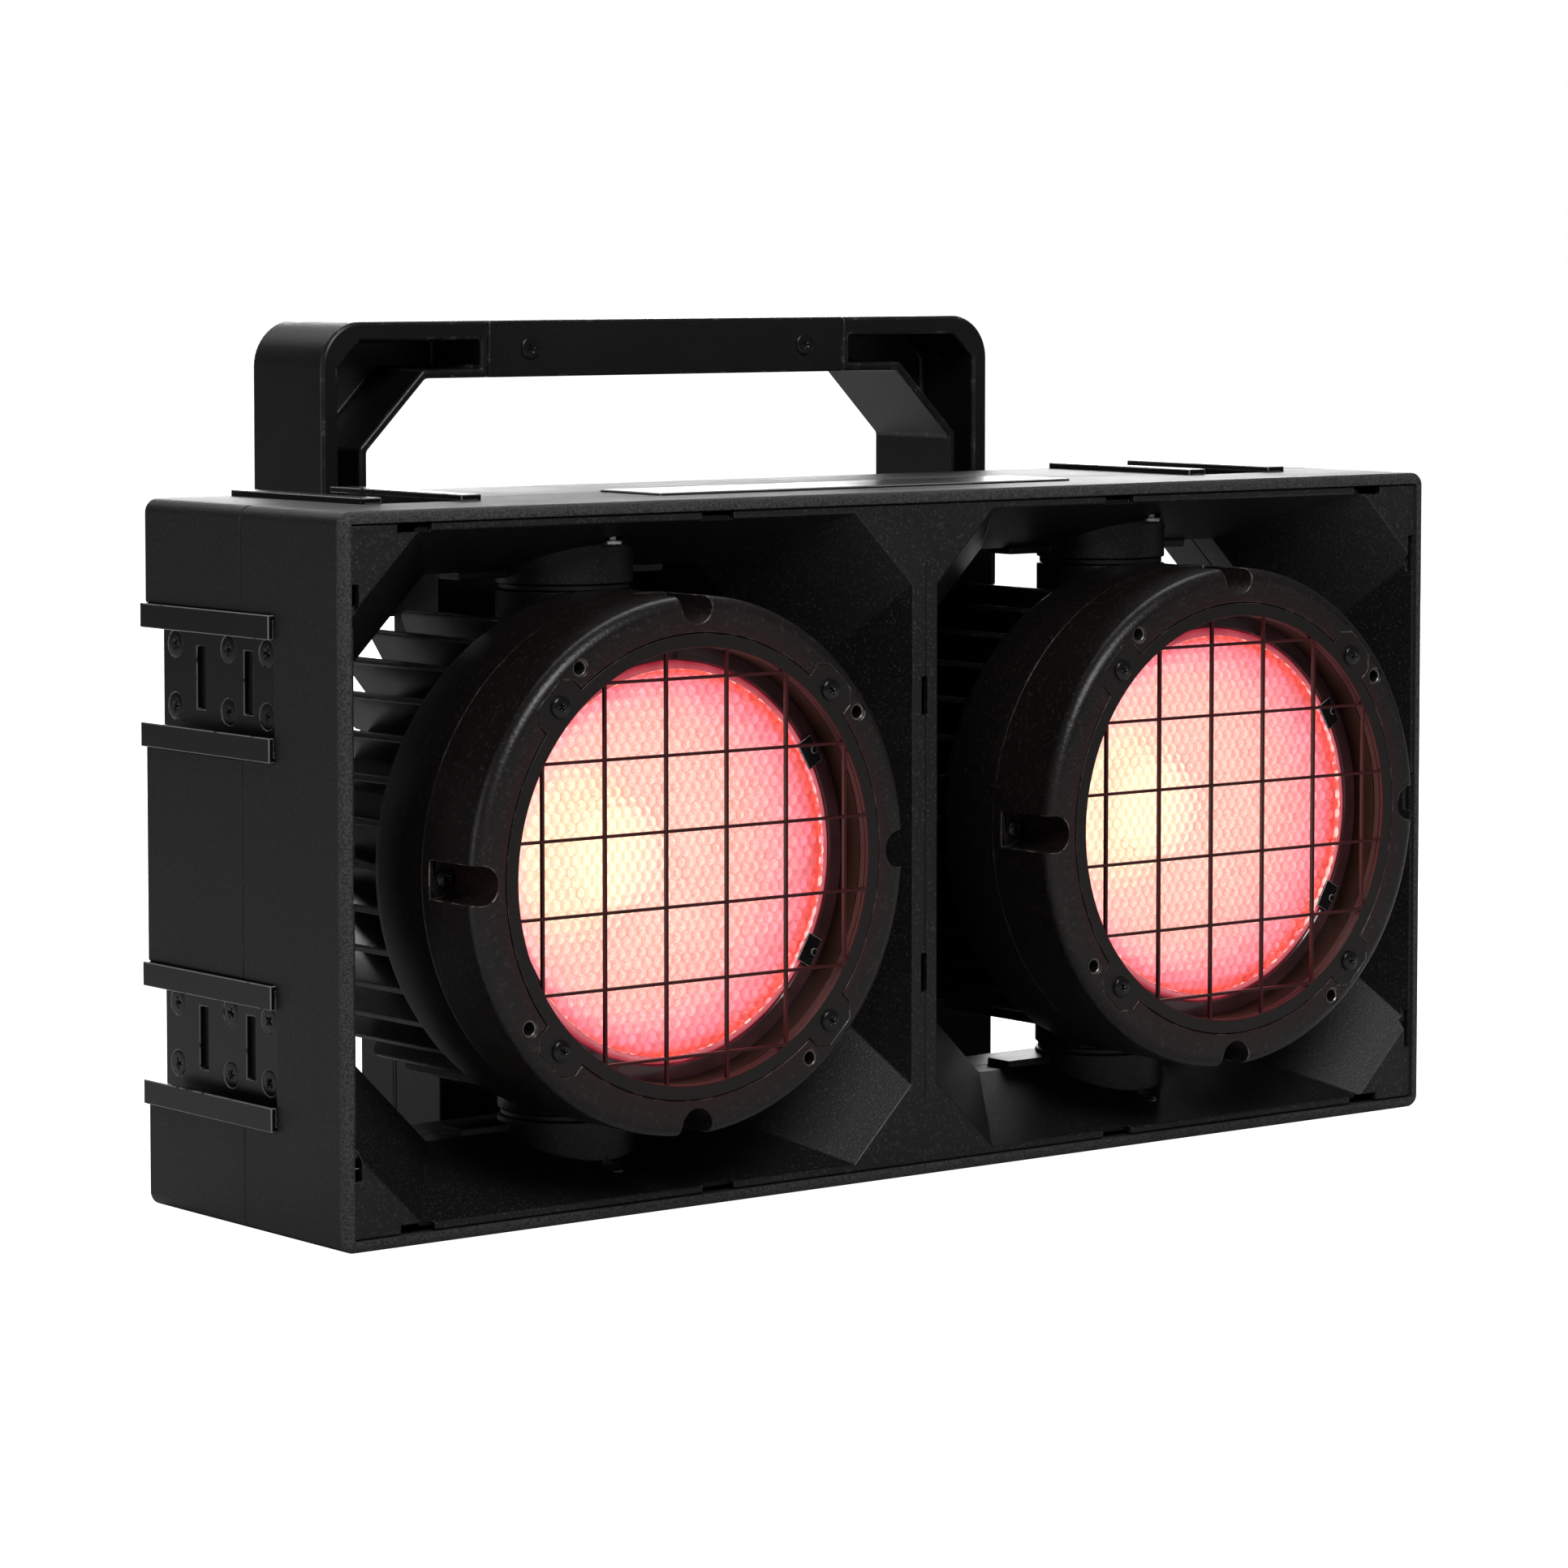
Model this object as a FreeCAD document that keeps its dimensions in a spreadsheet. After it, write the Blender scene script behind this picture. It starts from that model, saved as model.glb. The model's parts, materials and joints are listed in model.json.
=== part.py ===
"""Two-lamp audience blinder: a case with two panning lamp heads, a rear driver box and a handle.

Millimetres, +Z up, the front of the light towards -Y. The model's origin is under the middle of
the whole object, on the plane that its lowest bracket lips stand on. The case pieces are drawn
about the middle of the case, with zero height at the case's underside, and each lamp head about
its own pan axis at mid-height. place() then moves them to where they belong.
"""
import FreeCAD, Part
import Sketcher
import math
import os

doc = FreeCAD.newDocument("audience_blinder")
sheet = doc.addObject("Spreadsheet::Sheet", "Sizes")

SIZES = {
    # lamp bays, sized round the lamp head
    "bay_side_gap": 22,
    "bay_top_gap": 11,
    "funnel_side_flare": 30,
    "funnel_top_flare": 34.5,
    "divider_width": 11,
    "side_rim": 5,
    "top_rim": 6.75,
    "opening_corner": 25,
    "throat_corner": 43,
    "funnel_depth": 45.5,
    "tunnel_length": 20,
    # case
    "case_depth": 117,
    "shell_wall": 4,
    "corner_round": 4.5,
    "fit_gap": 0.3,
    "cut_over": 5,
    "baffle_inset": 1,
    "baffle_wall": 2.5,
    "rim_slot_length": 13,
    "rim_slot_width": 2.8,
    "rim_slot_outward": 90.5,
    "rim_slot_inward": 30.5,
    "rim_slot_rise": 88,
    "divider_slot_rise": 47.5,
    "divider_slot_width": 2.4,
    "divider_line": 0.6,
    # channel brackets let into the case
    "channel_width": 47.4,
    "channel_length": 77.5,
    "channel_depth": 9,
    "channel_metal": 2,
    "channel_lip": 8,
    "channel_proud": 2,
    "channel_floor": 2.5,
    "side_channel_rise": 59.5,
    "top_channel_inset": 57.5,
    "slot_length": 20.8,
    "slot_width": 5.2,
    "slot_pitch": 28.4,
    "slot_inset": 23.3,
    "plate_screw_row": 10.25,
    "plate_screw_first": 7.4,
    "plate_screw_second": 39.7,
    "plate_screw_third": 62.6,
    "plate_screw_head": 4.4,
    "plate_screw_shank": 2.6,
    "plate_screw_sink": 1.2,
    # pan pivots
    "pivot_setback": 45.5,
    "boss_radius": 23,
    "boss_clearance": 1.1,
    "boss_rib_width": 84,
    "boss_rib_depth": 12,
    "boss_rib_drop": 2.5,
    "bush_flange": 2,
    "bush_radius": 11,
    "bush_length": 15,
    "pin_radius": 7,
    "pin_clearance": 0.05,
    "pin_depth": 18,
    "funnel_screw_head": 3.6,
    "funnel_screw_rise": 2.4,
    # lamp head
    "head_radius": 88,
    "head_front": 73,
    "bezel_depth": 23,
    "bezel_round": 4.5,
    "body_ring_depth": 23,
    "bezel_band": 16.8,
    "lip_thick": 3,
    "bore_gap": 0.8,
    "ring_web": 4,
    "core_inset": 30,
    "core_wall": 7.5,
    "board_seat": 10,
    "fin_margin": 15.95,
    "fin_thick": 3,
    "fin_front_inset": 8,
    "fin_side_run": 27,
    "fin_rear_inset": 52,
    "fin_shoulder_inset": 40,
    "fin_shoulder": 42,
    "fin_rear": 52,
    "fin_inset": 3,
    "notch_width": 13,
    "notch_radial": 10,
    "notch_depth": 18,
    "notch_screw_head": 3.4,
    "notch_screw_rise": 2.2,
    "notch_screw_shank": 2,
    "notch_screw_length": 12,
    # guard grid
    "grid_thick": 1.5,
    "grid_lap": 4.6,
    "grid_edge_gap": 9.7,
    "grid_bar": 1,
    "tab_inset": 2.3,
    "tab_width": 19,
    "grid_screw_inset": 10.4,
    "grid_screw_head": 3.6,
    "grid_screw_rise": 1.6,
    "grid_screw_shank": 1.6,
    "grid_screw_length": 8,
    "insert_inset": 6.4,
    "insert_outer": 3.2,
    "insert_bore": 2.1,
    "insert_length": 9,
    # optics
    "spacer_lap": 4.2,
    "spacer_length": 10,
    "lens_inset": 22,
    "lens_thick": 4,
    "lens_bevel": 1.2,
    "lens_seat": 3,
    "clip_length": 10,
    "clip_reach": 3,
    "clip_thick": 1,
    "reflector_throat": 19,
    "reflector_wall": 1.5,
    "neck_gap": 1,
    "led_board_gap": 10.5,
    "led_board_thick": 2,
    "led_radius": 17,
    "led_rise": 5,
    # driver box behind the case
    "box_half_width": 125,
    "box_front_set": 5.5,
    "box_depth": 27,
    "box_wall": 3,
    "box_cover_depth": 20,
    "box_cover_base": 12,
    "cover_top_gap": 28,
    "gasket_strip": 1.5,
    "gasket_band": 5,
    "board_thick": 1.6,
    "board_edge": 8,
    "board_foot_gap": 16,
    "board_half_gap": 4,
    "part_rise": 14,
    "post_radius": 4,
    "post_low_inset": 24,
    "post_high_inset": 16,
    "post_side_inset": 30.5,
    "display_width": 46,
    "display_height": 24,
    "display_thick": 2,
    "display_edge": 4,
    "panel_rise": 96,
    "display_shift": 34,
    "button_width": 10,
    "button_height": 7,
    "button_pitch": 15,
    "button_proud": 1.6,
    "button_gap": 0.4,
    "button_cap": 1.8,
    "socket_radius": 12,
    "socket_flange": 26,
    "socket_plate": 2,
    "socket_depth": 14,
    "socket_bore": 9.5,
    "socket_rise": 40,
    "socket_outer_inset": 33,
    "socket_inner_inset": 75,
    "cover_screw_head": 3.4,
    "cover_screw_rise": 2,
    "cover_screw_inset": 8,
    # handle
    "handle_half_width": 150,
    "handle_rise": 57,
    "handle_depth": 44,
    "handle_leg": 18.6,
    "grip_height": 20,
    "handle_round": 16,
    "gusset": 25,
    "handle_rim": 6.8,
    "handle_skin": 3.2,
    "pocket_depth": 30,
    "grip_cover_inset": 70,
    "grip_cover_depth": 22,
    "grip_screw_inset": 18,
    "grip_screw_head": 4,
    "grip_screw_rise": 0.8,
    "foot_thick": 6,
    "foot_reach": 55,
    "foot_drop": 9,
    "foot_height": 36,
    "foot_overhang": 4,
    "foot_screw_head": 5,
    "foot_screw_rise": 3,
    "foot_screw_inset": 10,
    # long shallow plate on the case's top
    "top_plate_half": 91,
    "top_plate_depth": 34,
    "top_plate_thick": 1.6,
    "top_plate_proud": 0.8,
    "top_plate_setback": 30,
}

FIN_COUNT = 12
GRID_LINES = 3
QUARTERS = 4
HEAD_SIDES = 12
SHANK_SIDES = 8
GRID_SCREW_TURN = 45
INSERT_TURN = 35
NOTCH_TURN = 0
CLIP_TURN = 30
CLIP_HALF_SPREAD = 60

for row, (alias, number) in enumerate(SIZES.items(), start=1):
    sheet.set("A%d" % row, alias)
    sheet.set("B%d" % row, str(number))
    sheet.setAlias("B%d" % row, alias)
doc.recompute()


class Size:
    """A size worked out from the sheet: its number now and the formula that gives it."""

    def __init__(self, number, formula):
        self.number = number
        self.formula = formula

    def joined(self, other, sign, number):
        return Size(number, "(%s %s %s)" % (self.formula, sign, sized(other).formula))

    def __add__(self, other):
        return self.joined(other, "+", self.number + sized(other).number)

    def __radd__(self, other):
        return sized(other) + self

    def __sub__(self, other):
        return self.joined(other, "-", self.number - sized(other).number)

    def __rsub__(self, other):
        return sized(other) - self

    def __mul__(self, other):
        return self.joined(other, "*", self.number * sized(other).number)

    def __rmul__(self, other):
        return sized(other) * self

    def __truediv__(self, other):
        return self.joined(other, "/", self.number / sized(other).number)

    def __neg__(self):
        return self * -1


def sized(value):
    """A Size as it is, and a plain number as a Size with itself for its formula."""
    if isinstance(value, Size):
        return value
    return Size(value, "(%s)" % repr(value))


class SheetSizes:
    """Each alias of the sheet, read by its name."""

    def __getattr__(self, alias):
        return Size(float(sheet.get(alias)), "Sizes." + alias)


S = SheetSizes()
ZERO = sized(0)


def bind(thing, prop, value):
    """Ties one property of a document object to a size."""
    thing.setExpression(prop, sized(value).formula)


def move(thing, x=ZERO, y=ZERO, z=ZERO):
    """Ties the place of a document object to three sizes."""
    for axis, value in zip("xyz", (x, y, z)):
        if sized(value).formula != ZERO.formula:
            bind(thing, ".Placement.Base." + axis, value)
    return thing


def turned(thing, axis, degrees):
    """Turns a document object about its own origin."""
    rotation = FreeCAD.Rotation(FreeCAD.Vector(*axis), degrees)
    thing.Placement = FreeCAD.Placement(thing.Placement.Base, rotation)
    return thing


def box(name, low, high):
    """A block between two corners."""
    made = doc.addObject("Part::Box", name)
    for prop, a, b in zip(("Length", "Width", "Height"), low, high):
        bind(made, prop, sized(b) - sized(a))
    return move(made, *low)


def cylinder(name, radius, start, length, axis="z"):
    """A round bar from a start point along an axis."""
    made = doc.addObject("Part::Cylinder", name)
    bind(made, "Radius", radius)
    bind(made, "Height", length)
    if axis == "y":
        turned(made, (1, 0, 0), -90)
    return move(made, *start)


def stud(name, sides, radius, start, length, axis="z"):
    """A many-sided bar, for small fasteners and their holes."""
    made = doc.addObject("Part::Prism", name)
    made.Polygon = sides
    bind(made, "Circumradius", radius)
    bind(made, "Height", length)
    if axis == "y":
        turned(made, (1, 0, 0), -90)
    return move(made, *start)


def cut(name, base, tool):
    made = doc.addObject("Part::Cut", name)
    made.Base = base
    made.Tool = tool
    return made


def fused(name, things):
    made = doc.addObject("Part::MultiFuse", name)
    made.Shapes = things
    return made


def common(name, things):
    made = doc.addObject("Part::MultiCommon", name)
    made.Shapes = things
    return made


def group(name, things):
    """Separate solids that share one node."""
    made = doc.addObject("Part::Compound", name)
    made.Links = things
    return made


PLANES = {
    "XY": FreeCAD.Rotation(),
    "XZ": FreeCAD.Rotation(FreeCAD.Vector(1, 0, 0), 90),
    "YZ": FreeCAD.Rotation(FreeCAD.Vector(1, 1, 1), 120),
}


def pin_coordinate(drawing, geometry, point, kind, value):
    """Holds one coordinate of a sketch point at a size."""
    value = sized(value)
    if abs(value.number) < 1e-9:
        axis_line = -2 if kind == "DistanceX" else -1
        drawing.addConstraint(Sketcher.Constraint("PointOnObject", geometry, point, axis_line))
        return
    number = drawing.addConstraint(
        Sketcher.Constraint(kind, -1, 1, geometry, point, value.number))
    drawing.setExpression("Constraints[%d]" % number, value.formula)


def add_outline(drawing, points):
    """A closed outline of straight lines through points given as pairs of sizes."""
    spots = [FreeCAD.Vector(sized(x).number, sized(y).number, 0) for x, y in points]
    first = drawing.GeometryCount
    for index, spot in enumerate(spots):
        drawing.addGeometry(Part.LineSegment(spot, spots[(index + 1) % len(spots)]), False)
    for index, (x, y) in enumerate(points):
        after = first + (index + 1) % len(points)
        drawing.addConstraint(Sketcher.Constraint("Coincident", first + index, 2, after, 1))
        pin_coordinate(drawing, first + index, 1, "DistanceX", x)
        pin_coordinate(drawing, first + index, 1, "DistanceY", y)


def outline(name, plane, points, offset=ZERO):
    """A sketch of one closed outline on a plane, moved along that plane's third axis."""
    drawing = doc.addObject("Sketcher::SketchObject", name)
    drawing.Placement = FreeCAD.Placement(FreeCAD.Vector(), PLANES[plane])
    add_outline(drawing, points)
    third = {"XY": "z", "XZ": "y", "YZ": "x"}[plane]
    return move(drawing, **{third: offset})


def prism(name, plane, points, start, length):
    """An outline swept straight from start. On XZ the sweep runs towards the front."""
    made = doc.addObject("Part::Extrusion", name)
    made.Base = outline(name + "_outline", plane, points, start)
    made.DirMode = "Normal"
    made.Solid = True
    bind(made, "LengthFwd", length)
    return made


def spun(name, points):
    """A piece of revolution about the lamp's own axis, from (radius, depth) points."""
    made = doc.addObject("Part::Revolution", name)
    made.Source = outline(name + "_section", "XY", points)
    made.Axis = FreeCAD.Vector(0, 1, 0)
    made.Angle = 360
    made.Solid = True
    return made


def lofted(name, near, far):
    """A straight-sided solid between two outlines."""
    made = doc.addObject("Part::Loft", name)
    made.Sections = [near, far]
    made.Solid = True
    made.Ruled = True
    return made


nodes = []


def place(label, thing, x=ZERO, y=ZERO, z=ZERO):
    """Names a finished piece and moves it to its place in the whole object."""
    if thing.TypeId in ("Part::Box", "Part::Cylinder"):
        thing = group(label + "_piece", [thing])
    thing.Label = label
    move(thing, x, y + SHIFT_Y, z + S.channel_proud)
    nodes.append(thing)
    return thing


THROAT_WIDTH = S.head_radius * 2 + S.bay_side_gap
THROAT_HEIGHT = S.head_radius * 2 + S.bay_top_gap
OPENING_WIDTH = THROAT_WIDTH + S.funnel_side_flare
OPENING_HEIGHT = THROAT_HEIGHT + S.funnel_top_flare
BAY_OFFSET = (OPENING_WIDTH + S.divider_width) / 2
HALF_WIDTH = BAY_OFFSET + OPENING_WIDTH / 2 + S.side_rim
CASE_HEIGHT = OPENING_HEIGHT + S.top_rim * 2
HALF_DEPTH = S.case_depth / 2
MID_HEIGHT = CASE_HEIGHT / 2
AXIS_Y = S.pivot_setback - HALF_DEPTH
HEAD_FACE = AXIS_Y - S.head_front
BOSS_SEAT = S.head_radius + S.boss_clearance
BOX_FRONT = HALF_DEPTH - S.box_front_set
BOX_BACK = BOX_FRONT + S.box_depth
HANDLE_FRONT = BOX_BACK + S.foot_thick
HANDLE_BACK = HANDLE_FRONT + S.handle_depth
SHIFT_Y = (-HEAD_FACE + S.grid_screw_rise - HANDLE_BACK) / 2
THROAT_Y = S.funnel_depth + S.baffle_inset - HALF_DEPTH
SIDES = (("left", -1), ("right", 1))


def octagon(centre_x, width, height, corner):
    """A rectangle with four cut corners, about a bay's middle."""
    w = width / 2
    h = height / 2
    shape = ((-1, w, -1, h - corner), (-1, w, 1, h - corner), (-1, w - corner, 1, h),
             (1, w - corner, 1, h), (1, w, 1, h - corner), (1, w, -1, h - corner),
             (1, w - corner, -1, h), (-1, w - corner, -1, h))
    return [(centre_x + across * x, MID_HEIGHT + rise * y) for across, x, rise, y in shape]


def channel_spots():
    """Where the eight brackets lie: label, face, and the middle of each along that face."""
    spots = []
    for side, sign in SIDES:
        spots.append(("bracket_%s_upper" % side, side, MID_HEIGHT + S.side_channel_rise))
        spots.append(("bracket_%s_lower" % side, side, MID_HEIGHT - S.side_channel_rise))
        along = sign * (HALF_WIDTH - S.top_channel_inset)
        spots.append(("bracket_top_%s" % side, "top", along))
        spots.append(("bracket_bottom_%s" % side, "bottom", along))
    return spots


def channel_block(name, face, middle, grow, depth, y0, y1):
    """A block over one bracket's bed: grow beyond its width, and depth into the case."""
    half = S.channel_width / 2 + grow
    if face in ("left", "right"):
        skin = HALF_WIDTH + S.cut_over
        inner = HALF_WIDTH - depth
        low, high = (-skin, -inner) if face == "left" else (inner, skin)
        return box(name, (low, y0, middle - half), (high, y1, middle + half))
    skin = CASE_HEIGHT + S.cut_over
    inner = CASE_HEIGHT - depth
    low, high = (inner, skin) if face == "top" else (-S.cut_over, depth)
    return box(name, (middle - half, y0, low), (middle + half, y1, high))


def shell(name, y_front, y_back):
    """One half of the case: four rounded walls, with a bed let in for each bracket."""
    body = doc.addObject("PartDesign::Body", name + "_walls")
    drawing = body.newObject("Sketcher::SketchObject", name + "_outer")
    plane = [f for f in body.Origin.OriginFeatures if f.Role == "XZ_Plane"][0]
    drawing.AttachmentSupport = [(plane, "")]
    drawing.MapMode = "FlatFace"
    bind(drawing, ".AttachmentOffset.Base.z", -y_back)
    w = HALF_WIDTH
    add_outline(drawing, ((-w, ZERO), (w, ZERO), (w, CASE_HEIGHT), (-w, CASE_HEIGHT)))
    pad = body.newObject("PartDesign::Pad", name + "_block")
    pad.Profile = drawing
    bind(pad, "Length", y_back - y_front)
    doc.recompute()
    long_edges = [index for index, edge in enumerate(pad.Shape.Edges, start=1)
                  if abs(edge.tangentAt(edge.FirstParameter).y) > 0.9]
    rounds = body.newObject("PartDesign::Fillet", name + "_rounds")
    rounds.Base = (pad, ["Edge%d" % index for index in long_edges])
    bind(rounds, "Radius", S.corner_round)
    doc.recompute()
    beds = []
    pockets = []
    bed_depth = S.channel_depth + S.channel_floor
    bed_front = HALF_DEPTH - S.channel_length
    outside = box(name + "_outside", (-w, y_front, ZERO), (w, y_back, CASE_HEIGHT))
    for label, face, middle in channel_spots():
        start = bed_front if name == "front_shell" else y_front
        grown = start - S.channel_floor if name == "front_shell" else start
        bed = channel_block(name + "_bed_" + label, face, middle, S.channel_floor, bed_depth,
                            grown, y_back)
        beds.append(bed)
        pockets.append(channel_block(name + "_pocket_" + label, face, middle, ZERO,
                                     S.channel_depth, start, y_back + S.cut_over))
    wall = S.shell_wall
    inside = box(name + "_inside", (-w + wall, y_front - S.cut_over, wall),
                 (w - wall, y_back + S.cut_over, CASE_HEIGHT - wall))
    hollow = cut(name + "_hollow", body, inside)
    bedded = common(name + "_beds", [outside, fused(name + "_all_beds", beds)])
    whole = fused(name + "_whole", [hollow, bedded])
    return cut(name + "_bedded", whole, fused(name + "_pockets", pockets))


def plate_screw_places():
    """Places of the six screws of a bracket, as (distance from its front end, across)."""
    from_back = (S.plate_screw_first, S.plate_screw_second, S.plate_screw_third)
    return [(S.channel_length - back, side * S.plate_screw_row)
            for back in from_back for side in (-1, 1)]


def bracket_base(name):
    """A C-channel lying on its back along +Y, front end at zero, open side up."""
    half = S.channel_width / 2
    metal = S.channel_metal
    lip = S.channel_lip
    top = S.channel_depth + S.channel_proud
    body = doc.addObject("PartDesign::Body", name)
    drawing = body.newObject("Sketcher::SketchObject", name + "_section")
    plane = [f for f in body.Origin.OriginFeatures if f.Role == "XZ_Plane"][0]
    drawing.AttachmentSupport = [(plane, "")]
    drawing.MapMode = "FlatFace"
    add_outline(drawing, ((-half, ZERO), (half, ZERO), (half, top), (half - lip, top),
                          (half - lip, top - metal), (half - metal, top - metal),
                          (half - metal, metal), (metal - half, metal),
                          (metal - half, top - metal), (lip - half, top - metal),
                          (lip - half, top), (-half, top)))
    pad = body.newObject("PartDesign::Pad", name + "_channel")
    pad.Profile = drawing
    pad.Reversed = True
    bind(pad, "Length", S.channel_length)
    doc.recompute()
    openings = body.newObject("Sketcher::SketchObject", name + "_slots")
    plane = [f for f in body.Origin.OriginFeatures if f.Role == "XY_Plane"][0]
    openings.AttachmentSupport = [(plane, "")]
    openings.MapMode = "FlatFace"
    reach = S.slot_length / 2
    for along in (S.channel_length - S.slot_inset, S.channel_length - S.slot_inset - S.slot_pitch):
        low = along - S.slot_width / 2
        high = along + S.slot_width / 2
        add_outline(openings, ((-reach, low), (reach, low), (reach, high), (-reach, high)))
    slots = body.newObject("PartDesign::Pocket", name + "_slot_cuts")
    slots.Profile = openings
    slots.Type = 0
    slots.Reversed = True
    bind(slots, "Length", metal + S.cut_over)
    doc.recompute()
    sinks = []
    for index, (along, across) in enumerate(plate_screw_places()):
        sinks.append(sunk_screw(name + "_sink_%d" % index, across, along, metal, -S.cut_over))
    return cut(name + "_plate", body, fused(name + "_sinks", sinks))


def sunk_screw(name, x, y, top, reach):
    """A flat screw head let in below a surface at height top, and its shank down to reach."""
    seat = top - S.plate_screw_sink
    head = stud(name + "_head", HEAD_SIDES, S.plate_screw_head, (x, y, seat), S.plate_screw_sink)
    stem = stud(name + "_stem", SHANK_SIDES, S.plate_screw_shank, (x, y, reach), seat - reach)
    return fused(name, [head, stem])


def settle(thing, face, middle, front):
    """Turns a piece drawn lying on its back to its face of the case, on that bed's floor."""
    depth = S.channel_depth
    if face == "left":
        turned(thing, (0, 1, 0), -90)
        return (-HALF_WIDTH + depth, front, middle)
    if face == "right":
        turned(thing, (0, 1, 0), 90)
        return (HALF_WIDTH - depth, front, middle)
    if face == "bottom":
        turned(thing, (0, 1, 0), 180)
        return (middle, front, depth)
    return (middle, front, CASE_HEIGHT - depth)


def brackets():
    """Eight channels in their beds, and the screws that hold them in one node."""
    front = HALF_DEPTH - S.channel_length
    screws = []
    for label, face, middle in channel_spots():
        channel = bracket_base(label + "_channel")
        place(label, channel, *settle(channel, face, middle, front))
        held = [sunk_screw("%s_screw_%d" % (label, index), across, along, S.channel_metal, ZERO)
                for index, (along, across) in enumerate(plate_screw_places())]
        pack = group(label + "_screws", held)
        move(pack, *settle(pack, face, middle, front))
        screws.append(pack)
    place("bracket_screws", group("bracket_screw_group", screws))


def funnel(name, centre_x, grow):
    """The inside (or, grown by the wall, the outside) of one bay's funnel and straight throat."""
    face_y = S.baffle_inset - HALF_DEPTH
    over = S.cut_over if grow is ZERO else ZERO
    flare = OPENING_WIDTH - THROAT_WIDTH
    rise = OPENING_HEIGHT - THROAT_HEIGHT
    tuck = S.opening_corner - S.throat_corner
    share = over / S.funnel_depth
    near = outline(name + "_mouth", "XZ",
                   octagon(centre_x, OPENING_WIDTH + grow * 2 + flare * share,
                           OPENING_HEIGHT + grow * 2 + rise * share,
                           S.opening_corner + grow * BEVEL_GROWTH_SHARE + tuck * share),
                   face_y - over)
    throat = octagon(centre_x, THROAT_WIDTH + grow * 2, THROAT_HEIGHT + grow * 2,
                     S.throat_corner + grow * BEVEL_GROWTH_SHARE)
    far = outline(name + "_throat", "XZ", throat, THROAT_Y)
    flared = lofted(name + "_flare", near, far)
    straight = prism(name + "_straight", "XZ", throat, over, over - THROAT_Y)
    return fused(name, [flared, straight])


BEVEL_GROWTH_SHARE = 2 - math.sqrt(2)


def front_baffle():
    """The inset front moulding: two funnels, the pivot bosses and a thin face between them."""
    face_y = S.baffle_inset - HALF_DEPTH
    edge = S.shell_wall + S.fit_gap
    plate = box("baffle_face", (edge - HALF_WIDTH, face_y, edge),
                (HALF_WIDTH - edge, face_y + S.baffle_wall, CASE_HEIGHT - edge))
    solid = [plate]
    hollow = []
    for side, sign in SIDES:
        x = sign * BAY_OFFSET
        outer = funnel("baffle_outer_" + side, x, S.baffle_wall)
        limit = box("baffle_limit_" + side, (edge - HALF_WIDTH, face_y, edge),
                    (HALF_WIDTH - edge, ZERO, CASE_HEIGHT - edge))
        solid.append(common("baffle_bay_" + side, [outer, limit]))
        hollow.append(funnel("baffle_inner_" + side, x, ZERO))
    shaped = cut("baffle_shape", fused("baffle_solid", solid), fused("baffle_hollow", hollow))
    pieces = [shaped]
    holes = []
    for side, sign in SIDES:
        for level, up in (("upper", 1), ("lower", -1)):
            name = "baffle_%s_%s" % (side, level)
            pieces.append(boss(name, sign * BAY_OFFSET, up))
            holes.append(bush_hole(name, sign * BAY_OFFSET, up))
    half_line = S.divider_line / 2
    pieces.append(box("divider_line", (-half_line, face_y - S.divider_line, S.opening_corner),
                      (half_line, face_y, CASE_HEIGHT - S.opening_corner)))
    holes += funnel_screws("hole", S.pin_clearance)
    holes += rim_slots(face_y, edge)
    whole = fused("baffle_whole", pieces)
    place("front_baffle", cut("baffle", whole, fused("baffle_openings", holes)))


def rim_slots(face_y, edge):
    """Small slots through the baffle's rim and divider, where the moulding's clips show."""
    y0 = face_y - S.cut_over
    y1 = face_y + S.baffle_wall + S.fit_gap
    half = S.rim_slot_length / 2
    deep = edge + S.rim_slot_width
    slots = []
    offsets = (BAY_OFFSET + S.rim_slot_outward, BAY_OFFSET - S.rim_slot_inward)
    for index, offset in enumerate(offsets):
        for side, sign in SIDES:
            middle = sign * offset
            for level, low, high in (("low", ZERO, deep),
                                     ("high", CASE_HEIGHT - deep, CASE_HEIGHT)):
                slots.append(box("rim_slot_%s_%s_%d" % (side, level, index),
                                 (middle - half, y0, low), (middle + half, y1, high)))
    for index, rise in enumerate((-S.rim_slot_rise, ZERO, S.rim_slot_rise)):
        low = MID_HEIGHT + rise - half
        for side, x0, x1 in (("left", -HALF_WIDTH, deep - HALF_WIDTH),
                             ("right", HALF_WIDTH - deep, HALF_WIDTH)):
            slots.append(box("rim_slot_%s_side_%d" % (side, index), (x0, y0, low),
                             (x1, y1, low + S.rim_slot_length)))
    wide = S.divider_slot_width / 2
    for level, up in (("upper", 1), ("lower", -1)):
        low = MID_HEIGHT + up * S.divider_slot_rise - half
        slots.append(box("divider_slot_" + level, (-wide, y0, low),
                         (wide, y1, low + S.rim_slot_length)))
    return slots


def boss(name, x, up):
    """A pivot boss from the case wall down to the lamp head, with a cross rib behind it."""
    wall = MID_HEIGHT - S.shell_wall - S.fit_gap
    low, high = (MID_HEIGHT + BOSS_SEAT, MID_HEIGHT + wall)
    rib_low = MID_HEIGHT + THROAT_HEIGHT / 2 - S.boss_rib_drop
    rib_high = MID_HEIGHT + THROAT_HEIGHT / 2 + S.baffle_wall
    if up < 0:
        low, high = (CASE_HEIGHT - high, CASE_HEIGHT - low)
        rib_low, rib_high = (CASE_HEIGHT - rib_high, CASE_HEIGHT - rib_low)
    stem = cylinder(name + "_boss", S.boss_radius, (x, AXIS_Y, low), high - low)
    half = S.boss_rib_width / 2
    rib = box(name + "_rib", (x - half, ZERO - S.boss_rib_depth, rib_low),
              (x + half, ZERO, rib_high))
    return fused(name + "_pivot", [stem, rib])


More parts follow.
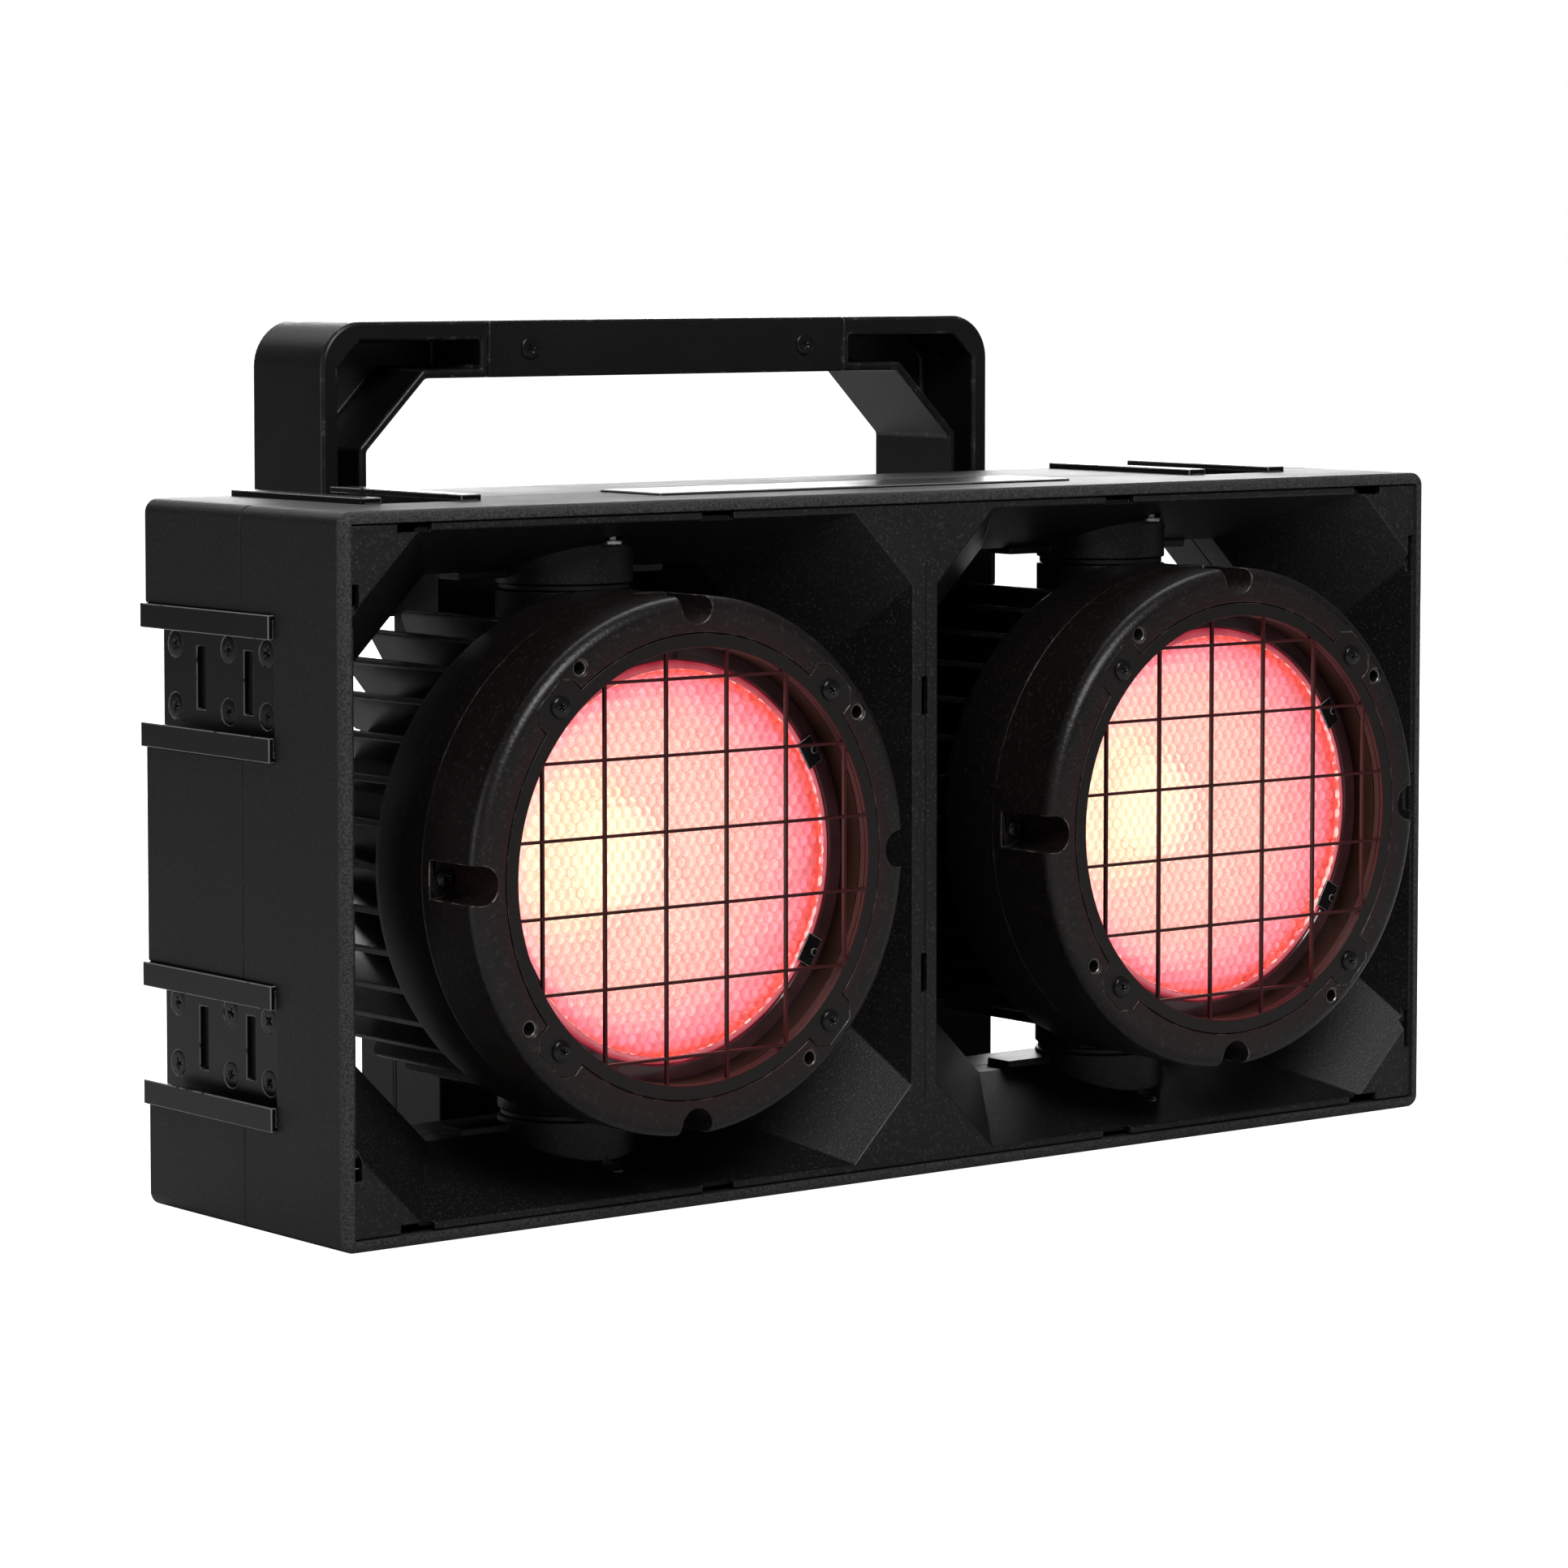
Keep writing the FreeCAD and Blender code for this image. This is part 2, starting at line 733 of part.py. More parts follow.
def bush_hole(name, x, up):
    low = MID_HEIGHT + BOSS_SEAT - S.cut_over
    length = S.bush_length + S.cut_over
    start = low if up > 0 else CASE_HEIGHT - low - length
    return cylinder(name + "_bush_hole", S.bush_radius, (x, AXIS_Y, start), length)


def pivot_bushes(side, sign):
    """Two flanged bushes, pressed face to face into the bosses above and below one head."""
    made = []
    for level, up in (("upper", 1), ("lower", -1)):
        name = "%s_%s_bush" % (side, level)
        seat = MID_HEIGHT + BOSS_SEAT
        tube_low, flange_low = (seat, seat - S.bush_flange)
        if up < 0:
            tube_low = CASE_HEIGHT - seat - S.bush_length
            flange_low = CASE_HEIGHT - seat
        x = sign * BAY_OFFSET
        flange = cylinder(name + "_flange", S.boss_radius - S.baffle_inset,
                          (x, AXIS_Y, flange_low), S.bush_flange)
        tube = cylinder(name + "_tube", S.bush_radius, (x, AXIS_Y, tube_low), S.bush_length)
        bore = cylinder(name + "_bore", S.pin_radius + S.pin_clearance,
                        (x, AXIS_Y, tube_low - S.cut_over), S.bush_length + S.cut_over * 2)
        made.append(cut(name, fused(name + "_solid", [flange, tube]), bore))
    place(side + "_pivot_bushes", group(side + "_bushes", made))


def funnel_screws(kind, grow):
    """One bright screw in the funnel roof and floor, just in front of each pivot boss."""
    made = []
    ahead = AXIS_Y - S.boss_radius - S.funnel_screw_head
    for side, sign in SIDES:
        for level, up in (("upper", 1), ("lower", -1)):
            name = "funnel_%s_%s_%s" % (kind, side, level)
            run = (THROAT_Y - ahead) / S.funnel_depth
            roof = (THROAT_HEIGHT + (OPENING_HEIGHT - THROAT_HEIGHT) * run) / 2
            length = MID_HEIGHT - S.shell_wall - S.fit_gap - roof + S.funnel_screw_rise
            start = MID_HEIGHT + roof - S.funnel_screw_rise
            if up < 0:
                start = CASE_HEIGHT - start - length
            made.append(stud(name, HEAD_SIDES, S.funnel_screw_head + grow,
                             (sign * BAY_OFFSET, ahead, start), length))
    return made


def rear_baffle():
    """The panel across the rear shell, with a short tunnel that carries on each funnel."""
    edge = S.shell_wall + S.fit_gap
    back = S.tunnel_length
    panel = box("rear_panel", (edge - HALF_WIDTH, back - S.baffle_wall, edge),
                (HALF_WIDTH - edge, back, CASE_HEIGHT - edge))
    grown = (THROAT_WIDTH + S.baffle_wall * 2, THROAT_HEIGHT + S.baffle_wall * 2,
             S.throat_corner + S.baffle_wall * BEVEL_GROWTH_SHARE)
    inner = (THROAT_WIDTH, THROAT_HEIGHT, S.throat_corner)
    tubes = [panel]
    holes = []
    for side, sign in SIDES:
        x = sign * BAY_OFFSET
        tubes.append(prism("rear_tunnel_" + side, "XZ", octagon(x, *grown), back, back))
        holes.append(prism("rear_hole_" + side, "XZ", octagon(x, *inner), back + S.cut_over,
                           back + S.cut_over * 2))
        holes.append(cylinder("rear_boss_relief_" + side, S.boss_radius + S.fit_gap,
                              (x, AXIS_Y, ZERO), CASE_HEIGHT))
    bed = S.channel_depth + S.channel_floor + S.fit_gap
    for label, face, middle in channel_spots():
        holes.append(channel_block("rear_relief_" + label, face, middle,
                                   S.channel_floor + S.fit_gap, bed, ZERO - S.cut_over,
                                   back + S.cut_over))
    place("rear_baffle", cut("rear_moulding", fused("rear_solid", tubes),
                             fused("rear_holes", holes)))


def top_plate():
    """The long shallow plate let into the top of the case."""
    low = CASE_HEIGHT + S.top_plate_proud - S.top_plate_thick
    y0 = S.top_plate_setback - HALF_DEPTH
    place("top_plate", box("top_strip", (-S.top_plate_half, y0, low),
                           (S.top_plate_half, y0 + S.top_plate_depth,
                            CASE_HEIGHT + S.top_plate_proud)))
    return box("top_recess", (-S.top_plate_half - S.fit_gap, y0 - S.fit_gap, low),
               (S.top_plate_half + S.fit_gap, y0 + S.top_plate_depth + S.fit_gap,
                CASE_HEIGHT + S.cut_over))


def case():
    """The two shells, with the recess for the top plate cut from both."""
    recess = top_plate()
    place("front_shell", cut("front_case", shell("front_shell", -HALF_DEPTH, ZERO), recess))
    place("rear_shell", cut("rear_case", shell("rear_shell", ZERO, HALF_DEPTH), recess))
    front_baffle()
    rear_baffle()
    place("funnel_screws", group("funnel_screw_group", funnel_screws("screw", ZERO)))
    brackets()
    for side, sign in SIDES:
        pivot_bushes(side, sign)


case()


HALF_STEP_SHARE = 0.5
WINDOW_RADIUS = S.head_radius - S.bezel_band
SPACER_RADIUS = WINDOW_RADIUS + S.spacer_lap
BODY_BORE = SPACER_RADIUS + S.bore_gap
CORE_RADIUS = S.head_radius - S.core_inset
CORE_BORE = CORE_RADIUS - S.core_wall
GUARD_RADIUS = WINDOW_RADIUS + S.grid_lap
GRID_PITCH = (WINDOW_RADIUS - S.grid_edge_gap) / (GRID_LINES - HALF_STEP_SHARE)
TAB_REACH = S.head_radius - S.tab_inset
GUARD_SCREW_CIRCLE = S.head_radius - S.grid_screw_inset
INSERT_CIRCLE = S.head_radius - S.insert_inset
LENS_RADIUS = S.head_radius - S.lens_inset
NOTCH_SCREW_RADIUS = S.head_radius - S.notch_radial + S.notch_width / 2


def ringed(make, count, start_turn):
    """Copies of a piece round the lamp axis, each made by make(index) and then turned."""
    made = []
    for index in range(count):
        thing = make(index)
        holder = group("%s_turned" % thing.Name, [thing])
        turned(holder, (0, 1, 0), -(start_turn + index * 360 / count))
        made.append(holder)
    return made


def bezel(side, at):
    """The front ring of a lamp head: rounded edge, four notches, a recess for the guard."""
    front = -S.head_front
    back = front + S.bezel_depth
    lip = front + S.grid_thick + S.lip_thick
    soft = S.bezel_round
    square = spun(side + "_square_ring", (
        (WINDOW_RADIUS, front), (S.head_radius - soft, front),
        (S.head_radius - soft, front + soft), (S.head_radius, front + soft),
        (S.head_radius, back), (BODY_BORE, back), (BODY_BORE, lip), (WINDOW_RADIUS, lip)))
    edge = doc.addObject("Part::Torus", side + "_soft_edge")
    bind(edge, "Radius1", S.head_radius - soft)
    bind(edge, "Radius2", soft)
    turned(edge, (1, 0, 0), -90)
    ring = fused(side + "_ring", [square, move(edge, y=front + soft)])
    cuts = [cylinder(side + "_guard_recess", GUARD_RADIUS + S.fit_gap,
                     (ZERO, front - S.cut_over, ZERO), S.cut_over + S.grid_thick, "y")]
    half = S.tab_width / 2 + S.fit_gap
    cuts += ringed(lambda index: box("%s_tab_recess_%d" % (side, index),
                                     (WINDOW_RADIUS, front - S.cut_over, -half),
                                     (TAB_REACH + S.fit_gap, front + S.grid_thick, half)),
                   QUARTERS, GRID_SCREW_TURN)
    wide = S.notch_width / 2

    def notch(index):
        name = "%s_notch_%d" % (side, index)
        floor = S.head_radius - S.notch_radial + wide
        flat = box(name + "_slot", (floor, front - S.cut_over, -wide),
                   (S.head_radius + S.cut_over, front + S.notch_depth, wide))
        round_end = cylinder(name + "_end", wide, (floor, front - S.cut_over, ZERO),
                             S.cut_over + S.notch_depth, "y")
        return fused(name, [flat, round_end])

    cuts += ringed(notch, QUARTERS, NOTCH_TURN)
    cuts += ringed(lambda index: cylinder(
        "%s_insert_hole_%d" % (side, index), S.insert_outer,
        (INSERT_CIRCLE, front - S.cut_over, ZERO), S.cut_over + S.insert_length, "y"),
        QUARTERS, INSERT_TURN)
    cuts += ringed(lambda index: stud(
        "%s_guard_hole_%d" % (side, index), SHANK_SIDES, S.grid_screw_shank,
        (GUARD_SCREW_CIRCLE, front - S.cut_over, ZERO),
        S.cut_over + S.grid_thick + S.grid_screw_length, "y"), QUARTERS, GRID_SCREW_TURN)
    cuts += ringed(lambda index: stud(
        "%s_notch_hole_%d" % (side, index), SHANK_SIDES, S.notch_screw_shank,
        (NOTCH_SCREW_RADIUS, front, ZERO), S.bezel_depth + S.cut_over, "y"),
        QUARTERS, NOTCH_TURN)
    place(side + "_bezel", cut(side + "_bezel_cut", ring, fused(side + "_bezel_cuts", cuts)), *at)


def bezel_screws(side, at):
    """A pan-head screw on the floor of each notch."""
    seat = S.notch_depth - S.head_front

    def screw(index):
        name = "%s_notch_screw_%d" % (side, index)
        head = stud(name + "_head", HEAD_SIDES, S.notch_screw_head,
                    (NOTCH_SCREW_RADIUS, seat - S.notch_screw_rise, ZERO),
                    S.notch_screw_rise, "y")
        stem = stud(name + "_stem", SHANK_SIDES, S.notch_screw_shank - S.pin_clearance,
                    (NOTCH_SCREW_RADIUS, seat, ZERO), S.notch_screw_length, "y")
        return fused(name, [head, stem])

    place(side + "_bezel_screws", group(side + "_notch_screws",
                                        ringed(screw, QUARTERS, NOTCH_TURN)), *at)


def guard(side, at):
    """The guard: one cut sheet with a ring, four screw tabs and a square grid of thin bars."""
    front = -S.head_front
    thick = S.grid_thick
    disc = cylinder(side + "_guard_disc", GUARD_RADIUS, (ZERO, front, ZERO), thick, "y")
    hole = cylinder(side + "_guard_hole", WINDOW_RADIUS, (ZERO, front - S.cut_over, ZERO),
                    thick + S.cut_over * 2, "y")
    ring = cut(side + "_guard_ring", disc, hole)
    half = S.tab_width / 2
    tabs = ringed(lambda index: box("%s_tab_%d" % (side, index),
                                    (WINDOW_RADIUS, front, -half),
                                    (TAB_REACH, front + thick, half)),
                  QUARTERS, GRID_SCREW_TURN)
    reach = WINDOW_RADIUS + S.grid_bar
    bars = []
    for line in range(GRID_LINES):
        for sign in (-1, 1):
            middle = sign * (line + HALF_STEP_SHARE) * GRID_PITCH
            low = middle - S.grid_bar / 2
            high = middle + S.grid_bar / 2
            name = "%s_bar_%d_%d" % (side, line, sign + 1)
            bars.append(box(name + "_up", (low, front, -reach), (high, front + thick, reach)))
            bars.append(box(name + "_along", (-reach, front, low), (reach, front + thick, high)))
    lattice = common(side + "_lattice", [
        fused(side + "_bars", bars),
        cylinder(side + "_lattice_limit", GUARD_RADIUS, (ZERO, front - S.cut_over, ZERO),
                 S.cut_over * 2, "y")])
    clear = WINDOW_RADIUS - S.cut_over
    opened = cylinder(side + "_tab_clear", clear, (ZERO, front - S.cut_over, ZERO),
                      S.cut_over * 2, "y")
    tabbed = cut(side + "_tabbed", fused(side + "_ring_and_tabs", [ring] + tabs), opened)
    whole = fused(side + "_guard_whole", [tabbed, lattice])
    holes = ringed(lambda index: stud(
        "%s_guard_screw_hole_%d" % (side, index), SHANK_SIDES, S.grid_screw_shank,
        (GUARD_SCREW_CIRCLE, front - S.cut_over, ZERO), S.cut_over * 2, "y"),
        QUARTERS, GRID_SCREW_TURN)
    holes += ringed(lambda index: cylinder(
        "%s_guard_relief_%d" % (side, index), S.insert_outer + S.fit_gap,
        (INSERT_CIRCLE, front - S.cut_over, ZERO), S.cut_over * 2, "y"),
        QUARTERS, INSERT_TURN)
    place(side + "_guard_grid", cut(side + "_guard", whole, fused(side + "_guard_cuts", holes)),
          *at)


def guard_screws(side, at):
    front = -S.head_front

    def screw(index):
        name = "%s_guard_screw_%d" % (side, index)
        head = stud(name + "_head", HEAD_SIDES, S.grid_screw_head,
                    (GUARD_SCREW_CIRCLE, front - S.grid_screw_rise, ZERO),
                    S.grid_screw_rise, "y")
        stem = stud(name + "_stem", SHANK_SIDES, S.grid_screw_shank - S.pin_clearance,
                    (GUARD_SCREW_CIRCLE, front, ZERO), S.grid_thick + S.grid_screw_length, "y")
        return fused(name, [head, stem])

    place(side + "_guard_screws", group(side + "_guard_screw_group",
                                        ringed(screw, QUARTERS, GRID_SCREW_TURN)), *at)


def inserts(side, at):
    """Threaded inserts in the bezel's face that take an accessory frame."""
    front = -S.head_front

    def insert(index):
        name = "%s_insert_%d" % (side, index)
        outer = cylinder(name + "_outer", S.insert_outer, (INSERT_CIRCLE, front, ZERO),
                         S.insert_length, "y")
        bore = cylinder(name + "_bore", S.insert_bore, (INSERT_CIRCLE, front - S.cut_over, ZERO),
                        S.cut_over * 2 + S.insert_length, "y")
        return cut(name, outer, bore)

    place(side + "_accessory_inserts", group(side + "_inserts",
                                             ringed(insert, QUARTERS, INSERT_TURN)), *at)


def lens_clips(side, front):
    """Four small clips on the reflector's flange, each reaching over the lens's edge."""
    half = S.clip_length / 2
    made = []
    for index in range(QUARTERS):
        turn = CLIP_TURN + (index // 2) * 180 - (index % 2) * CLIP_HALF_SPREAD
        clip = box("%s_clip_%d" % (side, index), (LENS_RADIUS - S.clip_reach, front - S.clip_thick, -half),
                   (LENS_RADIUS + S.clip_reach, front, half))
        holder = group("%s_clip_%d_turned" % (side, index), [clip])
        made.append(turned(holder, (0, 1, 0), -turn))
    return made


def bowl_points(start, end, shares):
    """Points of a bowl's wall from one (radius, depth) point towards another."""
    return [(start[0] + (end[0] - start[0]) * across, start[1] + (end[1] - start[1]) * down)
            for across, down in shares]


def optics(side, at):
    """Spacer ring, lens, reflector with its flange, lamp board and lamp, along the axis."""
    lip_back = S.grid_thick + S.lip_thick - S.head_front
    flange_front = lip_back + S.spacer_length
    place(side + "_glass_gasket", spun(side + "_spacer_ring", (
        (WINDOW_RADIUS, lip_back), (SPACER_RADIUS, lip_back), (SPACER_RADIUS, flange_front),
        (WINDOW_RADIUS, flange_front))), *at)
    seat = flange_front + S.lens_thick
    bevel = S.lens_bevel
    place(side + "_front_glass", spun(side + "_lens", (
        (ZERO, flange_front), (LENS_RADIUS - bevel, flange_front),
        (LENS_RADIUS, flange_front + bevel), (LENS_RADIUS, seat), (ZERO, seat))), *at)
    wall = S.reflector_wall
    foot = -S.board_seat
    web = S.bezel_depth - S.head_front + S.body_ring_depth - S.ring_web
    throat = (S.reflector_throat, foot)
    neck = (CORE_BORE - wall - S.neck_gap, web)
    mouth = (LENS_RADIUS - S.lens_seat, seat)
    bowl = bowl_points(throat, neck, LOWER_BOWL_SHARES) + bowl_points(neck, mouth, UPPER_BOWL_SHARES)
    outer = [(radius + wall, depth) for radius, depth in reversed(bowl)]
    pocket = LENS_RADIUS + S.fit_gap
    rim = [(pocket, seat), (pocket, flange_front), (SPACER_RADIUS, flange_front),
           (SPACER_RADIUS, flange_front + wall), (pocket + wall, flange_front + wall),
           (pocket + wall, seat + wall)]
    outer[0] = (mouth[0] + wall, seat + wall)
    shell_of_bowl = spun(side + "_bowl", bowl + rim + outer)
    place(side + "_reflector", fused(side + "_reflector_whole",
                                     [shell_of_bowl] + lens_clips(side, flange_front)), *at)
    board = cylinder(side + "_board", CORE_BORE - S.led_board_gap, (ZERO, foot, ZERO),
                     S.led_board_thick, "y")
    lamp = cylinder(side + "_lamp", S.led_radius, (ZERO, foot - S.led_rise, ZERO),
                    S.led_rise, "y")
    place(side + "_led_board", board, *at)
    place(side + "_led_module", lamp, *at)


LOWER_BOWL_SHARES = ((0, 0), (0.45, 0.25), (0.76, 0.68))
UPPER_BOWL_SHARES = ((0, 0), (0.3, 0.28), (1, 1))


def heat_sink(side, at):
    """The head's casting: a ring behind the bezel, a core round the lamp, fins and two lugs."""
    front = S.bezel_depth - S.head_front
    ring_back = front + S.body_ring_depth
    web = ring_back - S.ring_web
    seat = S.led_board_thick - S.board_seat
    cup = spun(side + "_cup", (
        (BODY_BORE, front), (S.head_radius, front), (S.head_radius, ring_back),
        (CORE_RADIUS, ring_back), (CORE_RADIUS, S.fin_shoulder), (ZERO, S.fin_shoulder),
        (ZERO, seat), (CORE_BORE, seat), (CORE_BORE, web), (BODY_BORE, web)))
    side_end = ring_back + S.fin_side_run
    wide = S.head_radius - S.fin_front_inset
    shoulder = S.head_radius - S.fin_shoulder_inset
    rear = S.head_radius - S.fin_rear_inset
    plan = prism(side + "_fin_plan", "XY", (
        (-wide, web), (wide, web), (wide, side_end), (shoulder, S.fin_shoulder),
        (rear, S.fin_rear), (-rear, S.fin_rear), (-shoulder, S.fin_shoulder),
        (-wide, side_end)), -S.head_radius, S.head_radius * 2)
    barrel = cylinder(side + "_fin_barrel", S.head_radius - S.fin_inset, (ZERO, web, ZERO),
                      S.fin_rear - web, "y")
    slabs = []
    reach = S.head_radius
    pitch = (S.head_radius - S.fin_margin) * 2 / (FIN_COUNT - 1)
    for index in range(FIN_COUNT):
        middle = (index - (FIN_COUNT - 1) / 2) * pitch
        slabs.append(box("%s_fin_%d" % (side, index),
                         (-reach, web, middle - S.fin_thick / 2),
                         (reach, S.fin_rear + S.cut_over, middle + S.fin_thick / 2)))
    fins = common(side + "_fins", [plan, barrel, fused(side + "_slabs", slabs)])
    lug_top = BOSS_SEAT - S.bush_flange - S.fit_gap
    lug = cylinder(side + "_lugs", S.boss_radius, (ZERO, ZERO, -lug_top), lug_top * 2)
    cavity = spun(side + "_cavity", (
        (ZERO, front - S.cut_over), (BODY_BORE, front - S.cut_over), (BODY_BORE, web),
        (CORE_BORE, web), (CORE_BORE, seat), (ZERO, seat)))
    pin_low = lug_top - S.pin_depth
    holes = [cavity]
    for level, start in (("upper", pin_low), ("lower", -lug_top - S.cut_over)):
        holes.append(cylinder("%s_%s_pin_hole" % (side, level), S.pin_radius,
                              (ZERO, ZERO, start), S.pin_depth + S.cut_over))
    holes += ringed(lambda index: stud(
        "%s_body_screw_hole_%d" % (side, index), SHANK_SIDES, S.notch_screw_shank,
        (NOTCH_SCREW_RADIUS, front - S.cut_over, ZERO),
        S.cut_over + S.notch_screw_length, "y"), QUARTERS, NOTCH_TURN)
    whole = fused(side + "_casting", [cup, fins, lug])
    place(side + "_heat_sink", cut(side + "_sink", whole, fused(side + "_sink_holes", holes)), *at)


def pivot_pins(side, at):
    """The two pins, fixed in the head's lugs, that turn in the bushes."""
    lug_top = BOSS_SEAT - S.bush_flange - S.fit_gap
    length = S.pin_depth + S.fit_gap + S.bush_flange + S.bush_length - S.baffle_inset
    upper = cylinder(side + "_upper_pin", S.pin_radius, (ZERO, ZERO, lug_top - S.pin_depth),
                     length)
    lower = cylinder(side + "_lower_pin", S.pin_radius,
                     (ZERO, ZERO, S.pin_depth - lug_top - length), length)
    place(side + "_pivot_pins", group(side + "_pins", [upper, lower]), *at)


def lamp_head(side, sign):
    at = (sign * BAY_OFFSET, AXIS_Y, MID_HEIGHT)
    bezel(side, at)
    bezel_screws(side, at)
    guard(side, at)
    guard_screws(side, at)
    inserts(side, at)
    optics(side, at)
    heat_sink(side, at)
    pivot_pins(side, at)


for side, sign in SIDES:
    lamp_head(side, sign)


COVER_FRONT = BOX_BACK + S.gasket_strip
COVER_BACK = COVER_FRONT + S.box_cover_depth
BOX_LOW = S.shell_wall + S.fit_gap
BOX_HIGH = CASE_HEIGHT - BOX_LOW
FOOT_HIGH = CASE_HEIGHT - S.foot_drop
FOOT_LOW = FOOT_HIGH - S.foot_height
COVER_HIGH = FOOT_LOW - S.cover_top_gap


def button_places():
    """Middles of the four menu buttons, as (across, up)."""
    return [(S.button_pitch * step + S.display_shift / 2, S.panel_rise)
            for step in range(QUARTERS)]


def socket_places():
    """Middles of the four sockets, from the power input to the data output."""
    outer = S.box_half_width - S.socket_outer_inset
    inner = S.box_half_width - S.socket_inner_inset
    return (("power_in_socket", -outer), ("power_out_socket", -inner),
            ("data_in_socket", inner), ("data_out_socket", outer))


def tray(name, y0, y1, low, high, wall, open_back):
    """A thin-walled box that is open towards the front or the back."""
    w = S.box_half_width
    outer = box(name + "_outer", (-w, y0, low), (w, y1, high))
    inner_low = y0 + wall if open_back else y0 - S.cut_over
    inner_high = y1 + S.cut_over if open_back else y1 - wall
    inner = box(name + "_inner", (wall - w, inner_low, low + wall),
                (w - wall, inner_high, high - wall))
    return cut(name, outer, inner)


def driver_box():
    """The driver box: a full-height tray in the case's back, closed by a lower rear cover."""
    w = S.box_half_width
    base = tray("box_tray", BOX_FRONT, BOX_BACK, BOX_LOW, BOX_HIGH, S.box_wall, True)
    lid = box("box_lid", (-w, BOX_BACK - S.box_wall, COVER_HIGH - S.box_wall),
              (w, BOX_BACK, BOX_HIGH))
    posts = []
    for level, z in (("low", BOX_LOW + S.post_low_inset), ("high", COVER_HIGH - S.post_high_inset)):
        for side, sign in SIDES:
            posts.append(cylinder("box_post_%s_%s" % (side, level), S.post_radius,
                                  (sign * (w - S.post_side_inset), BOX_FRONT, z),
                                  S.box_wall + S.board_edge, "y"))
    place("driver_box", fused("box_whole", [base, lid] + posts))
    rim = S.gasket_band
    low = S.box_cover_base
    outer = box("gasket_outer", (-w, BOX_BACK, low), (w, COVER_FRONT, COVER_HIGH))
    inner = box("gasket_inner", (rim - w, BOX_BACK - S.cut_over, low + rim),
                (w - rim, COVER_FRONT + S.cut_over, COVER_HIGH - rim))
    place("cover_gasket", cut("gasket_frame", outer, inner))


def driver_cover():
    """The rear cover with its display, buttons and sockets let into it."""
    shape = tray("cover_tray", COVER_FRONT, COVER_BACK, S.box_cover_base, COVER_HIGH,
                 S.box_wall, False)
    through = (COVER_BACK - S.box_wall - S.cut_over, COVER_BACK + S.cut_over)
    holes = []
    dw = S.display_width / 2
    dh = S.display_height / 2
    x = -S.display_shift
    holes.append(box("display_hole", (x - dw, through[0], S.panel_rise - dh),
                     (x + dw, through[1], S.panel_rise + dh)))
    bw = S.button_width / 2 + S.button_gap
    bh = S.button_height / 2 + S.button_gap
    for index, (across, up) in enumerate(button_places()):
        holes.append(box("button_hole_%d" % index, (across - bw, through[0], up - bh),
                         (across + bw, through[1], up + bh)))
    for label, across in socket_places():
        holes.append(cylinder(label + "_hole", S.socket_radius + S.fit_gap,
                              (across, through[0], S.socket_rise),
                              through[1] - through[0], "y"))
    place("driver_cover", cut("cover_shape", shape, fused("cover_holes", holes)))


def cover_screws():
    made = []
    inset = S.cover_screw_inset
    spots = [(sign * (S.box_half_width - inset), z) for sign in (-1, 1)
             for z in (S.box_cover_base + inset, COVER_HIGH - inset)]
    for index, (x, z) in enumerate(spots):
        made.append(stud("cover_screw_%d" % index, HEAD_SIDES, S.cover_screw_head,
                         (x, COVER_BACK, z), S.cover_screw_rise, "y"))
    place("cover_screws", group("cover_screw_group", made))


def controls():
    """The display window and four menu buttons, each a cap with a stop flange behind it."""
    dw = S.display_width / 2 - S.fit_gap
    dh = S.display_height / 2 - S.fit_gap
    x = -S.display_shift
    back = COVER_BACK
    inner = back - S.box_wall
    edge = S.display_edge
    pane = box("display_pane", (x - dw, inner, S.panel_rise - dh), (x + dw, back, S.panel_rise + dh))
    flange = box("display_flange",
                 (x - dw - edge, inner - S.display_thick, S.panel_rise - dh - edge),
                 (x + dw + edge, inner, S.panel_rise + dh + edge))
    place("display_window", fused("display", [pane, flange]))
    for index, (across, up) in enumerate(button_places()):
        name = "menu_button_%d" % (index + 1)
        bw = S.button_width / 2
        bh = S.button_height / 2
        cap = box(name + "_cap", (across - bw, inner - S.button_cap, up - bh),
                  (across + bw, back + S.button_proud, up + bh))
        grow = S.button_gap * 2
        stop_back = inner - S.fit_gap
        stop = box(name + "_stop", (across - bw - grow, stop_back - S.button_cap, up - bh - grow),
                   (across + bw + grow, stop_back, up + bh + grow))
        place(name, fused(name + "_shape", [cap, stop]))


def sockets():
    """Four round panel sockets, each a square flange on the cover with a blind bore."""
    for label, across in socket_places():
        half = S.socket_flange / 2
        z = S.socket_rise
        flange = box(label + "_flange", (across - half, COVER_BACK, z - half),
                     (across + half, COVER_BACK + S.socket_plate, z + half))
        barrel = cylinder(label + "_barrel", S.socket_radius,
                          (across, COVER_BACK - S.socket_depth, z),
                          S.socket_depth + S.socket_plate * 2, "y")
        bore = cylinder(label + "_bore", S.socket_bore,
                        (across, COVER_BACK - S.socket_depth + S.socket_plate * 2, z),
                        S.socket_depth + S.cut_over, "y")
        place(label, cut(label + "_shell", fused(label + "_solid", [flange, barrel]), bore))


